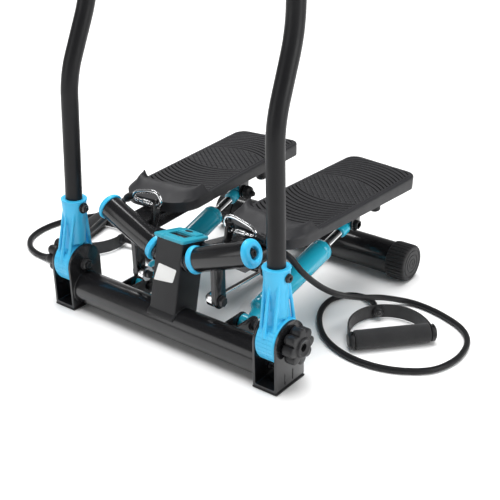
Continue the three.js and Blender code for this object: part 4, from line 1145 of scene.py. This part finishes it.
def tube_at(z):
    y = 7.57 + TUBE_RAKE * (min(z, BEND_LOW) - COLLAR_TOP)
    y += max(0.0, min(z, BEND_HIGH) - BEND_LOW) * 0.45 + max(0.0, z - BEND_HIGH) * 0.1
    return Vector((212 - TUBE_LEAN * (z - COLLAR_TOP), y, z))


def rib(shape, top, low, top_r, low_r):
    """A round ridge running down the socket from its collar to its drum."""
    down = (Vector(low) - Vector(top)).normalized()
    side = down.cross(Vector((1, 0, 0))).normalized()
    turn = side.cross(down)
    loft(shape, [circle(Vector(p), r, turn, side, 16) for p, r in ((top, top_r), (low, low_r))])


def socket():
    shape = bmesh.new()
    x_rod(shape, DRUM_IN, DRUM_OUT, FOLD.yz, DRUM_R, 96, 2.6)
    rod_between(shape, tube_at(114), tube_at(COLLAR_TOP - 1), 17.6, 48, 1)
    cheek = [(-19, 84), (-14, 120), (-9, 150), (-7, 170), (15, 170), (16, 150), (20, 120), (25, 84)]
    plate(shape, cheek, SIDEWAYS, DRUM_IN + 8, DRUM_OUT - 8, 1.0)
    neck_at = tube_at(172)
    for side, low_x in ((-1, DRUM_IN + 5.5), (1, DRUM_OUT - 5.5)):
        for end, low_y in ((-1, -24), (1, 28)):
            rib(shape, neck_at + Vector((side * 12.5, end * 12.5, 0)), (low_x, low_y, 88), 2.4, 3.2)
        rib(shape, neck_at + Vector((side * 18, 0, 0)), (low_x, 3, 94), 2.2, 3.2)
    rib(shape, neck_at + Vector((0, -18, 0)), (FOLD.x - 2, -29.6, 90), 2.2, 3.2)
    rib(shape, neck_at + Vector((0, 18, 0)), (FOLD.x, 32, 90), 2.2, 3.4)
    high = COLLAR_TOP - COLLAR_LOW
    neck = [(0, -14), (17.4, -14), (18.6, -4), (20.0, 6), (20.8, 18), (21.0, high - 2.5), (20.4, high),
            (0, high)]
    collar = aim(tube_at(COLLAR_LOW), tube_at(COLLAR_TOP) - tube_at(COLLAR_LOW))
    lathe(shape, soften(neck, 1.6, 4), collar, 64)
    bore = bmesh.new()
    rod_between(bore, tube_at(127), tube_at(230), TUBE_R + 0.35, 64, 0.05)
    return combined(fused(shape, 0.85, 4), bore, "DIFFERENCE")


def drum_pads():
    """The raised panels moulded in rows round the socket's drum."""
    shape = bmesh.new()
    rows, columns, gap, across = 26, 3, radians(2.2), 0.9
    first, whole = radians(126), radians(270)
    wide = (DRUM_OUT - DRUM_IN - 5.2) / columns
    for row in range(rows):
        start = first + whole * row / rows + gap / 2
        end = first + whole * (row + 1) / rows - gap / 2
        for column in range(columns):
            near = DRUM_IN + 2.6 + wide * column + across / 2
            far = near + wide - across
            rings = []
            for inset, r in ((0, DRUM_R - 0.9), (0, DRUM_R + 0.2), (0.35, DRUM_R + 0.55)):
                turn = inset / DRUM_R
                corners = [(near + inset, start + turn), (far - inset, start + turn),
                           (far - inset, end - turn), (near + inset, end - turn)]
                sides = zip(corners, corners[1:] + corners[:1])
                edges = [mix_xy(a, b, k / 3) for a, b in sides for k in range(3)]
                rings.append([about_x(x, FOLD, r, t) for x, t in edges])
            loft(shape, rings)
    return shape


pair("socket_moulding", socket(), CYAN, "handlebar", "socket_{}", crease=50)
pair("drum_panels", drum_pads(), CYAN, "handlebar")

shape = bmesh.new()
ring_between(shape, tube_at(COLLAR_TOP - 3), tube_at(COLLAR_TOP + 0.2), 21.9, 16.2, 72, 1.2)
pair("collar_lip", shape, CYAN, "handlebar")

shape = bmesh.new()
upright = [tube_at(z) for z in (128.5, BEND_LOW, BEND_HIGH, JOINT_Z)]
sweep(shape, soften(upright, 34, 14), TUBE_R, 56)
pair("upright_tube", shape, TUBE, "handlebar", "upright_{}")

shape = bmesh.new()
x, *centre = tube_at(COLLAR_BOLT)
x_rod(shape, x - 31, x + 22, centre, 3.9, 24)
ring_between(shape, (x + 21, *centre), (x + 25.5, *centre), 6.2, 2.6, 36, 1.4)
x_rod(shape, x + 20.6, x + 22.0, centre, 7.2, 36, 0.4)
x_rod(shape, x - 23.6, x - 21.2, centre, 9.2, 36, 0.4)
x_rod(shape, x - 29, x - 23.2, centre, 6.9, 6, 1.0)
pair("collar_bolt", shape, HARDWARE, "handlebar", "socket_bolt_{}")

shape = bmesh.new()
mirror = Vector((-1, 1, 1))
corners = [tube_at(JOINT_Z + 0.3), tube_at(TOP_Z)]
sweep(shape, soften(corners + [p * mirror for p in reversed(corners)], 62, 24), TUBE_R, 56)
for hand in (Vector((1, 1, 1)), mirror):
    low, high = tube_at(JOINT_Z - 4) * hand, tube_at(JOINT_Z + 5) * hand
    ring_between(shape, low, high, TUBE_R + 0.5, TUBE_R - 0.5, 56)
finish_piece("handlebar_hoop", shape, TUBE, "handlebar", ("top_bar",))

shape = bmesh.new()
grip_in, grip_out, steps = 14, 102, 60
profile = []
for k in range(steps + 1):
    x = grip_in + (grip_out - grip_in) * k / steps
    end = min(x - grip_in, grip_out - x)
    swell = 0.4 * cos(TAU * (x - grip_in) / 11) if end > 5 else 0
    profile.append((17.0 - max(0.0, 2.2 - end) ** 2 * 0.4 + swell, x))
lathe(shape, profile + [(14.3, grip_out), (14.3, grip_in)], along_x(0, *tube_at(TOP_Z).yz), 56, looped=True)
for hand in ("right", "left"):
    nodes = (f"top_grip_{hand}",)
    foam = finish_piece(f"bar_grip_{hand}", shape, FOAM, "handlebar", nodes, flip=hand == "left")


def star_knob():
    shape = bmesh.new()
    lobes = 8
    around = angles(lobes * 16)
    body = [(240.6, 0.55, 0), (243.4, 0.58, 0), (243.6, 0.86, 0.7), (244.6, 0.94, 0.9), (246.5, 0.985, 1),
            (250, 1, 1), (258, 0.995, 1), (261.4, 0.985, 1), (262.4, 0.95, 1), (262.9, 0.9, 0.95),
            (263.2, 0.72, 0.6), (263.6, 0.60, 0.2), (266.4, 0.56, 0), (266.9, 0.52, 0), (266.6, 0.44, 0),
            (265.8, 0.40, 0)]
    bulges = [7.0 * (0.5 + 0.5 * cos(lobes * t)) ** 0.45 - 4.4 for t in around]
    rings = []
    for x, scale, lobe in body:
        rings.append([about_x(x, FOLD, scale * (27.5 + lobe * bulge), t) for t, bulge in zip(around, bulges)])
    for x, r in ((265.2, 8.2), (264.6, 6.6), (262, 6.2), (257, 6.2)):
        rings.append([about_x(x, FOLD, r, t) for t in around])
    loft(shape, rings)
    return shape


pair("star_knob", star_knob(), PLASTIC, "fold_knob_{}", "fold_knob_{}", crease=50)
shape = bmesh.new()
x_rod(shape, EAR_IN - 11, 246, FOLD.yz, 5, 28)
x_rod(shape, EAR_OUT + 0.4, EAR_OUT + 2.2, FOLD.yz, 14, 40, 0.5)
x_rod(shape, 256.5, 259, FOLD.yz, 5.4, 6, 0.5)
pair("knob_stud", shape, HARDWARE, "fold_knob_{}")


# ---------------------------------------------------------------- clips
CLIP_Y, CLIP_IN, CLIP_OUT, CLIP_Z, CLIP_END = 66.0, 80.0, 121.0, 204.0, 12.0
loop = [(CLIP_IN + 4, -CLIP_END), (CLIP_IN - 1, -CLIP_END), (CLIP_IN - 9, -8), (CLIP_IN - CLIP_END, 0),
        (CLIP_IN - 7, 9), (CLIP_IN + 4, 11.5), (CLIP_OUT - 8, 5.5), (CLIP_OUT + 3, 1), (CLIP_OUT + 7.5, -5),
        (CLIP_OUT + 3, -10.5), (CLIP_OUT - 3, -11)]
shape = bmesh.new()
sweep(shape, catmull([(x, CLIP_Y, CLIP_Z + z) for x, z in loop], 2), 3.1, 24, tip=1.5)
pair("clip_loop", shape, CHROME, "base", "carabiner_{}")
shape = bmesh.new()
gate_in, gate_out, gate_z = CLIP_IN + 4.4, CLIP_OUT - 4.4, CLIP_Z - CLIP_END
rod_between(shape, (gate_in, CLIP_Y, gate_z), (gate_out, CLIP_Y, gate_z + 1), 2.6, 24)
rod_between(shape, (gate_in + 7, CLIP_Y, gate_z + 0.2), (gate_out - 8, CLIP_Y, gate_z + 0.8), 4.4, 40, 0.8)
for k in range(10):
    x = gate_in + 9 + 1.25 * k
    ring_between(shape, (x, CLIP_Y, gate_z + 0.4), (x + 0.7, CLIP_Y, gate_z + 0.4), 4.75, 4.0, 40, 0.2)
pair("clip_gate", shape, CHROME, "gate_{}", "carabiner_gate_{}")
